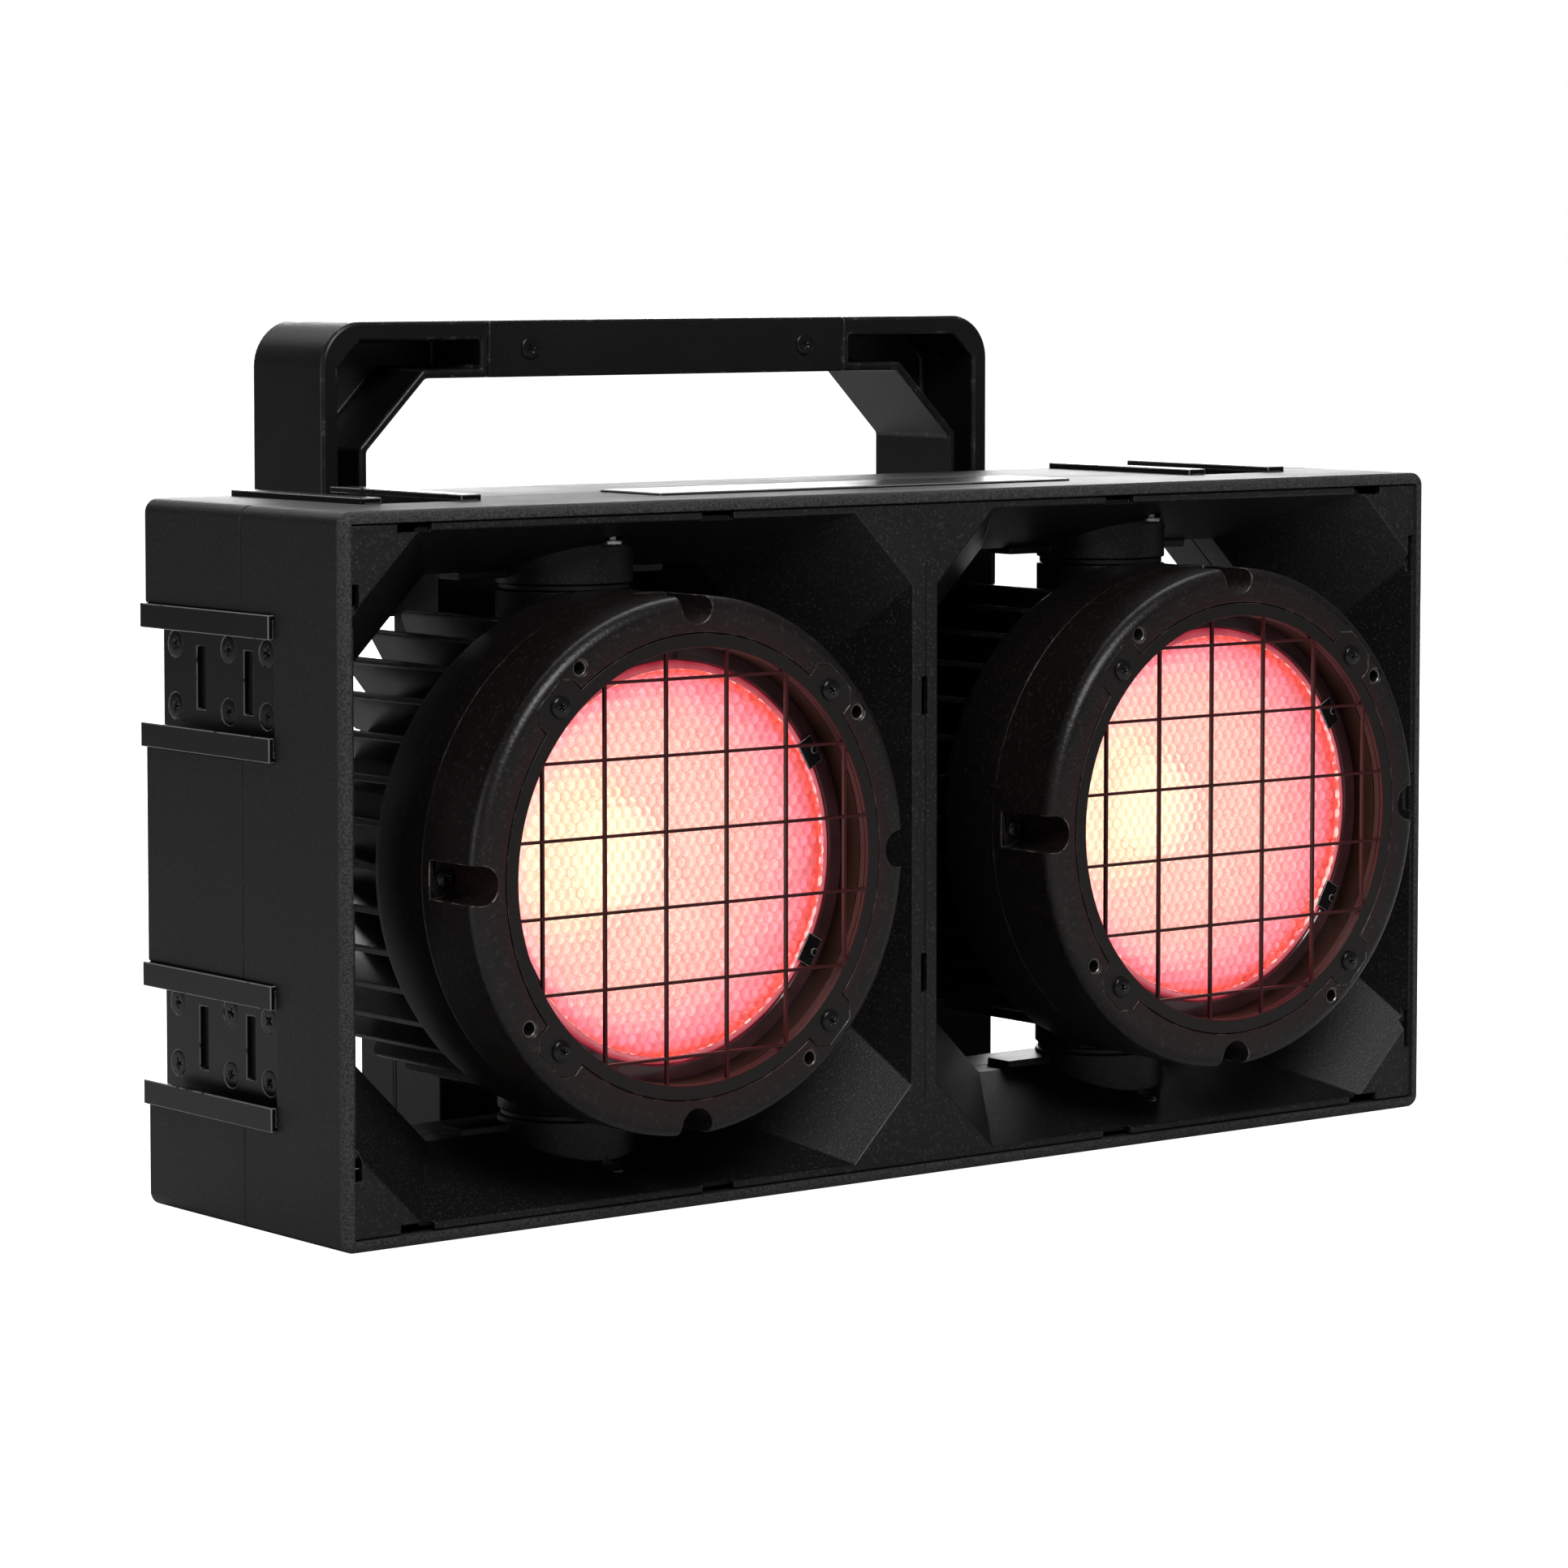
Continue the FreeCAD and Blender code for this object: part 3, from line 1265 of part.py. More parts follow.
def boards():
    """The power supply board and the lamp driver board on the posts inside the box."""
    y = BOX_FRONT + S.box_wall + S.board_edge
    low = BOX_LOW + S.board_foot_gap
    high = COVER_HIGH - S.board_edge
    w = S.box_half_width - S.box_wall - S.board_edge
    gap = S.board_half_gap
    for label, x0, x1 in (("power_supply_board", -w, -gap), ("led_driver_board", gap, w)):
        board = box(label + "_sheet", (x0, y, low), (x1, y + S.board_thick, high))
        wide = x1 - x0
        tall = high - low
        lumps = [board]
        for index, (across, up, span, rise) in enumerate(BOARD_PART_SHARES):
            lumps.append(box("%s_part_%d" % (label, index),
                             (x0 + wide * across, y, low + tall * up),
                             (x0 + wide * (across + span), y + S.part_rise,
                              low + tall * (up + rise))))
        place(label, fused(label + "_whole", lumps))


BOARD_PART_SHARES = ((0.12, 0.58, 0.3, 0.3), (0.55, 0.62, 0.25, 0.2), (0.2, 0.14, 0.22, 0.26))


driver_box()
driver_cover()
cover_screws()
controls()
sockets()
boards()


HANDLE_TOP = CASE_HEIGHT + S.handle_rise
GRIP_HALF = S.handle_half_width - S.grip_cover_inset


def handle_pocket(side, sign):
    """The hollow in one corner and leg of the handle, open towards the front."""
    w = S.handle_half_width - S.handle_rim
    top = HANDLE_TOP - S.handle_rim
    soft = S.handle_round - S.handle_rim
    leg = S.handle_half_width - S.handle_leg
    under = HANDLE_TOP - S.grip_height
    skin = S.handle_skin
    slant = skin * ROOT_TWO - skin
    start = GRIP_HALF + skin
    points = ((w, FOOT_HIGH), (w, top - soft), (w - soft, top), (start, top),
              (start, under + skin), (leg - S.gusset + slant, under + skin),
              (leg + skin, under - S.gusset + slant), (leg + skin, FOOT_HIGH))
    if sign < 0:
        points = tuple((-x, z) for x, z in reversed(points))
    return prism("handle_pocket_" + side, "XZ", points, HANDLE_FRONT + S.pocket_depth,
                 S.pocket_depth + S.cut_over)


def handle():
    """A deep U with rounded top corners, hollow gussets under the grip, and two feet."""
    back = HANDLE_BACK
    front = HANDLE_FRONT
    w = S.handle_half_width
    top = HANDLE_TOP
    soft = S.handle_round
    leg = w - S.handle_leg
    under = top - S.grip_height
    low = FOOT_LOW - S.foot_overhang
    foot_inner = w - S.foot_reach
    gus = S.gusset
    bar = prism("handle_bar", "XZ", (
        (-w, low), (-leg, low), (-leg, under - gus), (gus - leg, under), (leg - gus, under),
        (leg, under - gus), (leg, low), (w, low), (w, top - soft), (w - soft, top - soft),
        (w - soft, top), (soft - w, top), (soft - w, top - soft), (-w, top - soft)),
        back, S.handle_depth)
    cover_half = GRIP_HALF
    seat = box("grip_seat", (-cover_half, front - S.cut_over, under - S.cut_over),
               (cover_half, front + S.grip_cover_depth, top + S.cut_over))
    solid = [bar]
    hollow = [seat]
    feet = []
    for side, sign in SIDES:
        solid.append(cylinder("handle_corner_" + side, soft, (sign * (w - soft), front, top - soft),
                              S.handle_depth, "y"))
        hollow.append(handle_pocket(side, sign))
        ends = (foot_inner, w) if sign > 0 else (-w, -foot_inner)
        feet.append(box("handle_foot_" + side, (ends[0], BOX_BACK, FOOT_LOW),
                        (ends[1], BOX_BACK + S.foot_thick, FOOT_HIGH)))
    frame = cut("handle_hollowed", fused("handle_solid", solid), fused("handle_hollow", hollow))
    place("handle_frame", fused("handle_whole", [frame] + feet))
    place("handle_grip_cover", prism("grip_cover", "XZ", (
        (-cover_half, under), (cover_half, under), (cover_half, top), (-cover_half, top)),
        front + S.grip_cover_depth, S.grip_cover_depth))
    screws = []
    for side, sign in SIDES:
        x = sign * (GRIP_HALF - S.grip_screw_inset)
        z = top - S.grip_height / 2
        screws.append(stud("grip_screw_" + side, HEAD_SIDES, S.grip_screw_head,
                           (x, front - S.grip_screw_rise, z), S.grip_screw_rise, "y"))
        for level, z in (("low", FOOT_LOW + S.foot_screw_inset),
                         ("high", FOOT_HIGH - S.foot_screw_inset)):
            x = sign * (foot_inner + S.foot_screw_inset)
            screws.append(stud("foot_screw_%s_%s" % (side, level), HEAD_SIDES, S.foot_screw_head,
                               (x, front, z), S.foot_screw_rise, "y"))
    place("handle_screws", group("handle_screw_group", screws))


ROOT_TWO = math.sqrt(2)
handle()

doc.recompute()

faults = [thing.Name for thing in doc.Objects
          if "Invalid" in thing.State or "Error" in thing.State]
for node in nodes:
    if node.Shape.isNull() or not node.Shape.isValid() or not node.Shape.Solids:
        faults.append(node.Label)
if faults:
    raise RuntimeError("these objects failed: " + ", ".join(faults))

os.makedirs("parts", exist_ok=True)
for node in nodes:
    node.Shape.exportStep("parts/%s.step" % node.Label)
print("%d pieces written" % len(nodes))
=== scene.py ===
"""Finishes and fine detail for a two-lamp audience blinder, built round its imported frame.

Metres, +Z up, the front of the light towards -Y. Sizes that belong to the product are given in
millimetres times MM. Each lamp head is drawn about its own optical axis, with depth counted from
the front plane of its bezel.
"""
import json
import math
import random

import bmesh
import bpy
from mathutils import Matrix, Vector

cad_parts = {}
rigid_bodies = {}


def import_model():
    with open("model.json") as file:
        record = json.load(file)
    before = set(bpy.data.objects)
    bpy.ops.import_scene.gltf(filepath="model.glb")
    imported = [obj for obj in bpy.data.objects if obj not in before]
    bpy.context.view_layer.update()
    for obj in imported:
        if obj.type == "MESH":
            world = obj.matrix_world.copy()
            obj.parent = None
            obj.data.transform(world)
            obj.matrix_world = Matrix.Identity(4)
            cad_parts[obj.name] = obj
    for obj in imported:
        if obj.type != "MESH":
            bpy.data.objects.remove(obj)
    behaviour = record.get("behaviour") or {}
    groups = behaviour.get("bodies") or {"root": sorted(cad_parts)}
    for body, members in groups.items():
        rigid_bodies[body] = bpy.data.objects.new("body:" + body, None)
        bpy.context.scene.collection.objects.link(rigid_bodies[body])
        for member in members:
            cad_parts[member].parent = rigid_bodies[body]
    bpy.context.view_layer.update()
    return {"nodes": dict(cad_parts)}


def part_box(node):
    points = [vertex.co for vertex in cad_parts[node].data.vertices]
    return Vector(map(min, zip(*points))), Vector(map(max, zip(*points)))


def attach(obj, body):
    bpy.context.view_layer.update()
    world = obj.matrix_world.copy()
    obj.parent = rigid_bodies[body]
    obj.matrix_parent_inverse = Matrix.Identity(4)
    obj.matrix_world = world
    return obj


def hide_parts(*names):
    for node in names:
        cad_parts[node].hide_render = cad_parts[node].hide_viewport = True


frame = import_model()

MM = 0.001
SIDES = ("left", "right")

# where the photograph was taken from
CAMERA_PLACE = (-1.16566, -1.47279, 0.31928)
CAMERA_YAW = 38.383
CAMERA_PITCH = -4.055
CAMERA_LENS = 122.714
CAMERA_SENSOR = 36
CAMERA_SHIFT = -0.1

# how meshes are made
WELD = 0.01 * MM
FLAT_ANGLE = 0.6
SHARP_ANGLE = 35
ROUND_ANGLE = 32
OVER = 5 * MM
TOWARDS_FRONT = Matrix.Rotation(math.radians(90), 4, "X")

# case
RIM_ROUND = 3.2 * MM
CASE_CORNER = 4.5 * MM
BRACKET_SIDE = 220 * MM
HALF_HEIGHT = 100 * MM

# lamp head
BEZEL_SOFT = 4.5 * MM
BEZEL_DEPTH = 30.3 * MM
SEAM_CHAMFER = 0.7 * MM
HEAD_RADIUS = 88 * MM
WINDOW_RADIUS = 71.2 * MM
BORE_RADIUS = 76.2 * MM
GUARD_SCREW_TURN = 45
GUARD_THICK = 1.5 * MM
GUARD_SEAT_RADIUS = 76.1 * MM
LIP_BACK = 4.5 * MM
TAB_REACH = 83.6 * MM
TAB_HALF = 9.8 * MM
TAB_CORNER = 4 * MM
NOTCH_HALF = 6.2 * MM
NOTCH_FLOOR = 85 * MM
NOTCH_DEPTH = 25.3 * MM
INSERT_TURN = 35
INSERT_CIRCLE = 81.6 * MM
INSERT_RADIUS = 2.8 * MM
INSERT_SINK = 0.5 * MM
INSERT_LENGTH = 9 * MM
INSERT_BORE = 2.1 * MM
INSERT_LIP = 0.3 * MM

# screws: radius, crown, skirt, shank's radius and length, in millimetres
SCREWS = {"flat_screw": (4.3, 0.3, 0.9, 2.5, 2.0), "pan_screw": (3.4, 1.4, 0.8, 1.95, 14),
          "guard_screw": (3.6, 1.0, 0.6, 1.55, 10.8), "grip_screw": (4.0, 0.5, 0.3, 1.5, 0.8),
          "roof_screw": (3.6, 1.4, 0.9, 1.6, 8), "cover_screw": (3.4, 1.3, 0.7, 1.4, 2)}
NOTCH_SCREW_SINK = 7.3 * MM
NOTCH_SCREW_INWARD = 2.3 * MM
FLOOR_SCREW_SINK = 2.6 * MM

# casting behind the bezel, by depth behind the bezel's front plane
RING_RADIUS = 87.6 * MM
RING_LIP = 86 * MM
RING_STEP = 55.2 * MM
RING_BACK = 58.8 * MM
WEB_FACE = 54.8 * MM
PAN_DEPTH = 73 * MM
CORE_RADIUS = 64 * MM
CORE_BORE = 50.5 * MM
CORE_SEAT = 65 * MM
CORE_BACK = 115 * MM
LUG_RADIUS = 23 * MM
LUG_START = 56 * MM
LUG_TOP = 86.8 * MM
FIN_RADIUS = 84 * MM
FIN_END = 124 * MM
FIN_THICK = 2.6 * MM
FIN_ROUND = 0.5 * MM
FIN_COUNT = 15
FIN_STEP = 9.8
FIN_CLEAR_END = 142 * MM
FIN_CLEAR_SLOPE = 0.364
REAR_FIN_PITCH = 13.1 * MM
REAR_FIN_COUNT = 7
REAR_FIN_END = 125 * MM
REAR_FIN_CIRCLE = 48 * MM

# optics, by depth behind the bezel's front plane
LENS_FRONT = 14.5 * MM
LENS_BACK = 18.5 * MM
LENS_RADIUS = 66 * MM
LENS_POCKET = 66.3 * MM
CELL_FIELD = 63.4 * MM
CELL_PITCH = 4.05 * MM
CELL_RISE = 0.7 * MM
FLANGE_RADIUS = 75.4 * MM
FLANGE_BORE = 65 * MM
FLANGE_WALL = 1.5 * MM
CLIP_TURNS = (30, -30, 150, -150)
LAMP_FACE = 58 * MM
LAMP_RADIUS = 17 * MM
LAMP_CHAMFER = 0.5 * MM
BOARD_FACE = 63 * MM
CHIP_SIZE = 0.9 * MM
CHIP_PITCH = 2.1 * MM
# painted highlight: the lamp's hot spot painted round a line beside the optical axis
HOT_ASIDE = -19 * MM
HOT_ABOVE = 3 * MM
HOT_RADIUS = 27 * MM
GLOW = 1.33
BOWL_WALL = 1.4 * MM
BOWL_POINTS = ((63, 18.5), (52.5, 35.4), (48, 42), (41, 48.7), (32, 57.7), (17.1, 62.9))


# Meshes

def new_piece(name, data):
    """An object for a mesh, light or camera, in the scene."""
    piece = bpy.data.objects.new(name, data)
    bpy.context.scene.collection.objects.link(piece)
    return piece


def mesh_from(bm, name, sharp=SHARP_ANGLE, flat=()):
    """A mesh from a bmesh, smooth but for its flat faces and edges sharper than an angle."""
    for face in bm.faces:
        face.smooth = face not in flat
    mesh = bpy.data.meshes.new(name)
    bm.to_mesh(mesh)
    bm.free()
    mesh.set_sharp_from_angle(angle=math.radians(sharp))
    return mesh


def piece_from(bm, name, **options):
    """An object for what a bmesh holds."""
    return new_piece(name, mesh_from(bm, name, **options))


def baked(piece):
    """Puts what the piece's modifiers make into its mesh, and takes them off."""
    graph = bpy.context.evaluated_depsgraph_get()
    graph.update()
    made = bpy.data.meshes.new_from_object(piece.evaluated_get(graph), depsgraph=graph)
    piece.modifiers.clear()
    old = piece.data
    piece.data = made
    if old.users == 0:
        bpy.data.meshes.remove(old)
    return piece


def taken(piece):
    """The mesh of a helper object, which is removed."""
    mesh = piece.data
    bpy.data.objects.remove(piece)
    return mesh


def finished(piece, body, slot, look, *nodes):
    """Gives a piece its material and the body it rides on, and hides the nodes that it stands for.
    """
    piece.data.materials.clear()
    piece.data.materials.append(look)
    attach(piece, body)
    if nodes:
        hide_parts(*nodes)


def merged(node):
    """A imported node's mesh with its doubled points merged."""
    bm = bmesh.new()
    bm.from_mesh(frame["nodes"][node].data)
    bmesh.ops.remove_doubles(bm, verts=bm.verts, dist=WELD)
    return bm


def packed_copy(node):
    """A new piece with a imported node's own shape, its flat faces joined up."""
    bm = merged(node)
    bmesh.ops.dissolve_limit(bm, angle_limit=math.radians(FLAT_ANGLE), verts=bm.verts,
                             edges=bm.edges)
    return piece_from(bm, node + "_finished")


def noted(mesh, name, kind, domain, values):
    """Notes values on a mesh as an attribute."""
    part = "vector" if kind == "FLOAT_VECTOR" else "value"
    mesh.attributes.new(name, kind, domain).data.foreach_set(part, values)


def rounded(piece, width):
    """Rounds a piece's sharp edges, evens its shading and marks the rounded strips."""
    piece.data.materials.clear()
    for _ in range(2):
        piece.data.materials.append(None)
    bevel = piece.modifiers.new("edges", "BEVEL")
    bevel.width = width
    bevel.segments = 2
    bevel.limit_method = "ANGLE"
    bevel.angle_limit = math.radians(ROUND_ANGLE)
    bevel.use_clamp_overlap = False
    bevel.material = 1
    piece.modifiers.new("shading", "WEIGHTED_NORMAL").keep_sharp = True
    mesh = baked(piece).data
    marks = [0.0] * len(mesh.loops)
    for polygon in mesh.polygons:
        for loop in polygon.loop_indices:
            marks[loop] = float(polygon.material_index == 1)
    noted(mesh, "edge", "FLOAT", "CORNER", marks)
    for polygon in mesh.polygons:
        polygon.material_index = 0
    return piece


def cut_by(piece, cutter, how="DIFFERENCE"):
    """Cuts one piece by another, and removes the cutter."""
    step = piece.modifiers.new("cut", "BOOLEAN")
    step.operation = how
    step.object = cutter
    step.solver = "EXACT"
    step.use_self = True
    baked(piece)
    taken(cutter)
    return piece


def lathe(profile, steps, closed=True):
    """Turns (radius, depth) points about the depth axis, which runs along +Y."""
    bm = bmesh.new()
    angles = [math.tau * i / steps for i in range(steps)]
    rings = []
    for radius, depth in profile:
        if radius < 1e-7:
            rings.append([bm.verts.new((0, depth, 0))] * steps)
        else:
            rings.append([bm.verts.new((radius * math.cos(angle), depth, radius * math.sin(angle)))
                          for angle in angles])
    for index in range(len(rings) if closed else len(rings) - 1):
        near, far = rings[index], rings[(index + 1) % len(rings)]
        for i in range(steps):
            after = (i + 1) % steps
            corners = list(dict.fromkeys((near[i], near[after], far[after], far[i])))
            if len(corners) > 2:
                bm.faces.new(corners)
    bmesh.ops.recalc_face_normals(bm, faces=bm.faces)
    return bm


def turned_mesh(name, profile, steps, closed=True, sharp=SHARP_ANGLE):
    """The mesh of a piece of revolution."""
    return mesh_from(lathe(profile, steps, closed), name, sharp)


def arc(centre, radius, start, end, steps):
    """Points of an arc, as pairs."""
    angles = [math.radians(start + (end - start) * i / steps) for i in range(steps + 1)]
    return [(centre[0] + radius * math.cos(angle), centre[1] + radius * math.sin(angle))
            for angle in angles]


def about_depth(turn):
    """A turn about the depth axis, in degrees."""
    return Matrix.Rotation(math.radians(-turn), 4, "Y")


def quarter_turns(start):
    """Four turns, a quarter apart."""
    return [start + quarter * 90 for quarter in range(4)]


def block(bm, low, high, turn=0):
    """Adds a block between two corners, turned about the depth axis."""
    made = bmesh.ops.create_cube(bm, size=1)["verts"]
    low, high = Vector(low), Vector(high)
    place = Matrix.Translation((low + high) / 2) @ Matrix.Diagonal((*(high - low), 1))
    bmesh.ops.transform(bm, matrix=about_depth(turn) @ place, verts=made)


def cylinder(bm, radius, length, steps):
    """Adds an upright cylinder about the origin, and gives its points."""
    return bmesh.ops.create_cone(bm, cap_ends=True, segments=steps, radius1=radius,
                                 radius2=radius, depth=length)["verts"]


def bar(bm, radius, start, length, turn=0, steps=40):
    """Adds a round bar along +Y, turned about the depth axis."""
    made = cylinder(bm, radius, length, steps)
    place = (Matrix.Translation(Vector(start) + Vector((0, length / 2, 0)))
             @ Matrix.Rotation(math.radians(-90), 4, "X"))
    bmesh.ops.transform(bm, matrix=about_depth(turn) @ place, verts=made)


def prism(bm, corners, way, turn=0):
    """Adds a flat outline carried along a way, turned about the depth axis."""
    face = bm.faces.new([bm.verts.new(corner) for corner in corners])
    made = bmesh.ops.extrude_face_region(bm, geom=[face])["geom"]
    raised = [item for item in made if isinstance(item, bmesh.types.BMVert)]
    bmesh.ops.translate(bm, verts=raised, vec=way)
    bmesh.ops.transform(bm, matrix=about_depth(turn), verts=list(set(face.verts) | set(raised)))


def head_front(side):
    """The middle of a bezel's front plane."""
    low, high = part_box(side + "_bezel")
    return Vector(((low.x + high.x) / 2, low.y, (low.z + high.z) / 2))


def at_head(mesh, side):
    """Moves a mesh drawn about the optical axis to its head."""
    mesh.transform(Matrix.Translation(head_front(side)))
    return mesh


def islands(node):
    """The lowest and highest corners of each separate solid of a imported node."""
    bm = merged(node)
    left = set(bm.verts)
    found = []
    for start in bm.verts:
        if start not in left:
            continue
        left.discard(start)
        members = [start]
        for vert in members:
            for edge in vert.link_edges:
                other = edge.other_vert(vert)
                if other in left:
                    left.discard(other)
                    members.append(other)
        found.append([Vector([pick(vert.co[axis] for vert in members) for axis in range(3)])
                      for pick in (min, max)])
    bm.free()
    return found


# Node trees

class Graph:
    """A node tree under construction."""

    def __init__(self, tree):
        self.tree = tree

    def feed(self, target, value):
        """Links a socket to an input, or sets the input to a plain value or colour."""
        if isinstance(value, bpy.types.NodeSocket):
            self.tree.links.new(value, target)
        else:
            target.default_value = (*value, 1.0) if target.type == "RGBA" else value

    def node(self, kind, settings=None, **links):
        """Adds a node, its inputs given by name, or by number as i0, i1 and so on."""
        made = self.tree.nodes.new(kind)
        for key, value in (settings or {}).items():
            setattr(made, key, value)
        for key, value in links.items():
            number = key[1:]
            label = int(number) if number.isdigit() else key.replace("_", " ")
            self.feed(made.inputs[label], value)
        return made

    def out(self, kind, settings=None, **links):
        """Adds a node and gives its first output."""
        return self.node(kind, settings, **links).outputs[0]

    def math(self, operation, *values, clamp=False):
        return self.out("ShaderNodeMath", {"operation": operation, "use_clamp": clamp},
                        **{"i%d" % i: value for i, value in enumerate(values)})

    def plus(self, first, second):
        return self.math("ADD", first, second)

    def minus(self, first, second):
        return self.math("SUBTRACT", first, second)

    def times(self, first, second):
        return self.math("MULTIPLY", first, second)

    def over(self, first, second):
        return self.math("DIVIDE", first, second)

    def stretched(self, vector, by):
        """A vector times another, part by part."""
        return self.out("ShaderNodeVectorMath", {"operation": "MULTIPLY"}, i0=vector, i1=by)

    def length(self, vector):
        made = self.node("ShaderNodeVectorMath", {"operation": "LENGTH"}, i0=vector)
        return made.outputs["Value"]

    def parts(self, vector):
        """A vector's X, Y and Z."""
        return list(self.node("ShaderNodeSeparateXYZ", Vector=vector).outputs)

    def noise(self, where, scale, detail=2.0, rough=0.5):
        return self.out("ShaderNodeTexNoise", Vector=where, Scale=scale, Detail=detail,
                        Roughness=rough)

    def spread(self, value, low, high, out_low=0.0, out_high=1.0):
        """Maps a value from one range to another, smoothly and within it."""
        return self.out("ShaderNodeMapRange", {"interpolation_type": "SMOOTHSTEP"}, Value=value,
                        i1=low, i2=high, i3=out_low, i4=out_high)

    def blend(self, share, first, second, how="MIX"):
        """A colour between two colours."""
        return self.node("ShaderNodeMix", {"data_type": "RGBA", "blend_type": how}, i0=share,
                         i6=first, i7=second).outputs[2]


class Group(Graph):
    """A node group with named inputs and outputs."""

    def __init__(self, name, kind, inputs, outputs):
        super().__init__(bpy.data.node_groups.new(name, kind))
        self.ids = {}
        for way, sockets in (("OUTPUT", outputs), ("INPUT", inputs)):
            for label, what in sockets.items():
                socket = self.tree.interface.new_socket(label.replace("_", " "), in_out=way,
                                                        socket_type="NodeSocket" + what)
                self.ids[label] = socket.identifier
        self.source = self.tree.nodes.new("NodeGroupInput")
        self.result = self.tree.nodes.new("NodeGroupOutput")

    def given(self, label):
        return self.source.outputs[label.replace("_", " ")]

    def give(self, **values):
        """Links the group's outputs."""
        for label, value in values.items():
            self.tree.links.new(value, self.result.inputs[label])
        return self.tree


class Tree(Group):
    """A Geometry Nodes tree that ends with real geometry in a given material."""

    def __init__(self, name, **inputs):
        super().__init__(name, "GeometryNodeTree",
                         {"Geometry": "Geometry", **inputs, "Finish": "Material"},
                         {"Geometry": "Geometry"})

    def points(self, mesh):
        return self.out("GeometryNodeMeshToPoints", Mesh=mesh)

    def rotation(self, **angles):
        return self.out("FunctionNodeEulerToRotation",
                        Euler=self.out("ShaderNodeCombineXYZ", **angles))

    def placed(self, points, label, **links):
        """Real copies of a given object at points."""
        shape = self.node("GeometryNodeObjectInfo", Object=self.given(label))
        copies = self.out("GeometryNodeInstanceOnPoints", Points=points,
                          Instance=shape.outputs["Geometry"], **links)
        return self.out("GeometryNodeRealizeInstances", Geometry=copies)

    def moved(self, geometry, **links):
        return self.out("GeometryNodeSetPosition", Geometry=geometry, **links)

    def end(self, geometry):
        """Sets the given material and closes the tree."""
        self.give(Geometry=self.out("GeometryNodeSetMaterial", Geometry=geometry,
                                    Material=self.given("Finish")))
        return self

    def grown(self, piece, **values):
        """Runs the tree on a piece and puts the result into the piece's mesh."""
        modifier = piece.modifiers.new(self.tree.name, "NODES")
        modifier.node_group = self.tree
        for label, value in values.items():
            modifier[self.ids[label]] = value
        return baked(piece)


def fastener_tree():
    """Puts a screw at each point, its head along the point's facing, turned by its spin."""
    t = Tree("fasteners", Screw="Object")
    facing = t.out("GeometryNodeInputNamedAttribute", {"data_type": "FLOAT_VECTOR"}, Name="facing")
    spin = t.out("GeometryNodeInputNamedAttribute", {"data_type": "FLOAT"}, Name="spin")
    upright = t.out("FunctionNodeAlignRotationToVector", {"axis": "Z"}, Vector=facing)
    turn = t.out("FunctionNodeRotateRotation", {"rotation_space": "LOCAL"}, Rotation=upright,
                 Rotate_By=t.rotation(Z=spin))
    return t.end(t.placed(t.points(t.given("Geometry")), "Screw", Rotation=turn))


def field_tree():
    """A round field of cells on a hexagonal grid, the outer cells trimmed to its circle."""
    t = Tree("cell field", Cell="Object", Radius="Float", Pitch="Float", Margin="Float")
    pitch, radius = t.given("Pitch"), t.given("Radius")
    row_pitch = t.times(pitch, math.sqrt(3) / 2)
    half = t.math("CEIL", t.over(t.times(radius, 1.1), row_pitch))
    count = t.plus(t.times(half, 2), 1)
    steps = t.minus(count, 1)
    grid = t.out("GeometryNodeMeshGrid", i0=t.times(steps, pitch), i1=t.times(steps, row_pitch),
                 i2=count, i3=count)
    place = t.out("GeometryNodeInputPosition")
    row = t.math("ROUND", t.over(t.parts(place)[1], row_pitch))
    shift = t.times(t.times(t.math("FLOORED_MODULO", row, 2), pitch), 0.5)
    points = t.points(t.moved(grid, Offset=t.out("ShaderNodeCombineXYZ", X=shift)))
    outside = t.out("FunctionNodeCompare", {"data_type": "FLOAT", "operation": "GREATER_THAN"},
                    i0=t.length(place), i1=t.plus(radius, t.given("Margin")))
    kept = t.out("GeometryNodeDeleteGeometry", {"domain": "POINT"}, Geometry=points,
                 Selection=outside)
    cells = t.placed(kept, "Cell")
    spot = t.out("GeometryNodeInputPosition")
    far = t.math("MAXIMUM", t.length(t.stretched(spot, (1, 1, 0))), 1e-6)
    share = t.math("MINIMUM", 1.0, t.over(radius, far))
    inside = t.stretched(spot, t.out("ShaderNodeCombineXYZ", X=share, Y=share, Z=1.0))
    return t.end(t.moved(cells, Position=inside))


def rib_tree():
    """A fan of ribs on each side of the lamp, their rear ends kept in front of a V-shaped limit."""
    t = Tree("radial ribs", Rib="Object", Each_Side="Int", Step="Float", Clear_End="Float",
             Clear_Slope="Float")
    each = t.given("Each_Side")
    line = t.out("GeometryNodeMeshLine", Count=t.times(each, 2), Offset=(0, 0, 0))
    index = t.out("GeometryNodeInputIndex")
    from_middle = t.minus(t.math("MODULO", index, each), t.over(t.minus(each, 1), 2))
    side = t.times(t.math("FLOOR", t.over(index, each)), math.pi)
    turn = t.plus(t.times(from_middle, t.given("Step")), side)
    ribs = t.placed(t.points(line), "Rib", Rotation=t.rotation(Y=turn))
    x, y, z = t.parts(t.out("GeometryNodeInputPosition"))
    limit = t.minus(t.given("Clear_End"), t.times(t.math("ABSOLUTE", x), t.given("Clear_Slope")))
    clear = t.out("ShaderNodeCombineXYZ", X=x, Y=t.math("MINIMUM", y, limit), Z=z)
    return t.end(t.moved(ribs, Position=clear))


FASTENERS = fastener_tree()
FIELD = field_tree()
RIBS = rib_tree()


# Shader groups, which give out only masks and heights

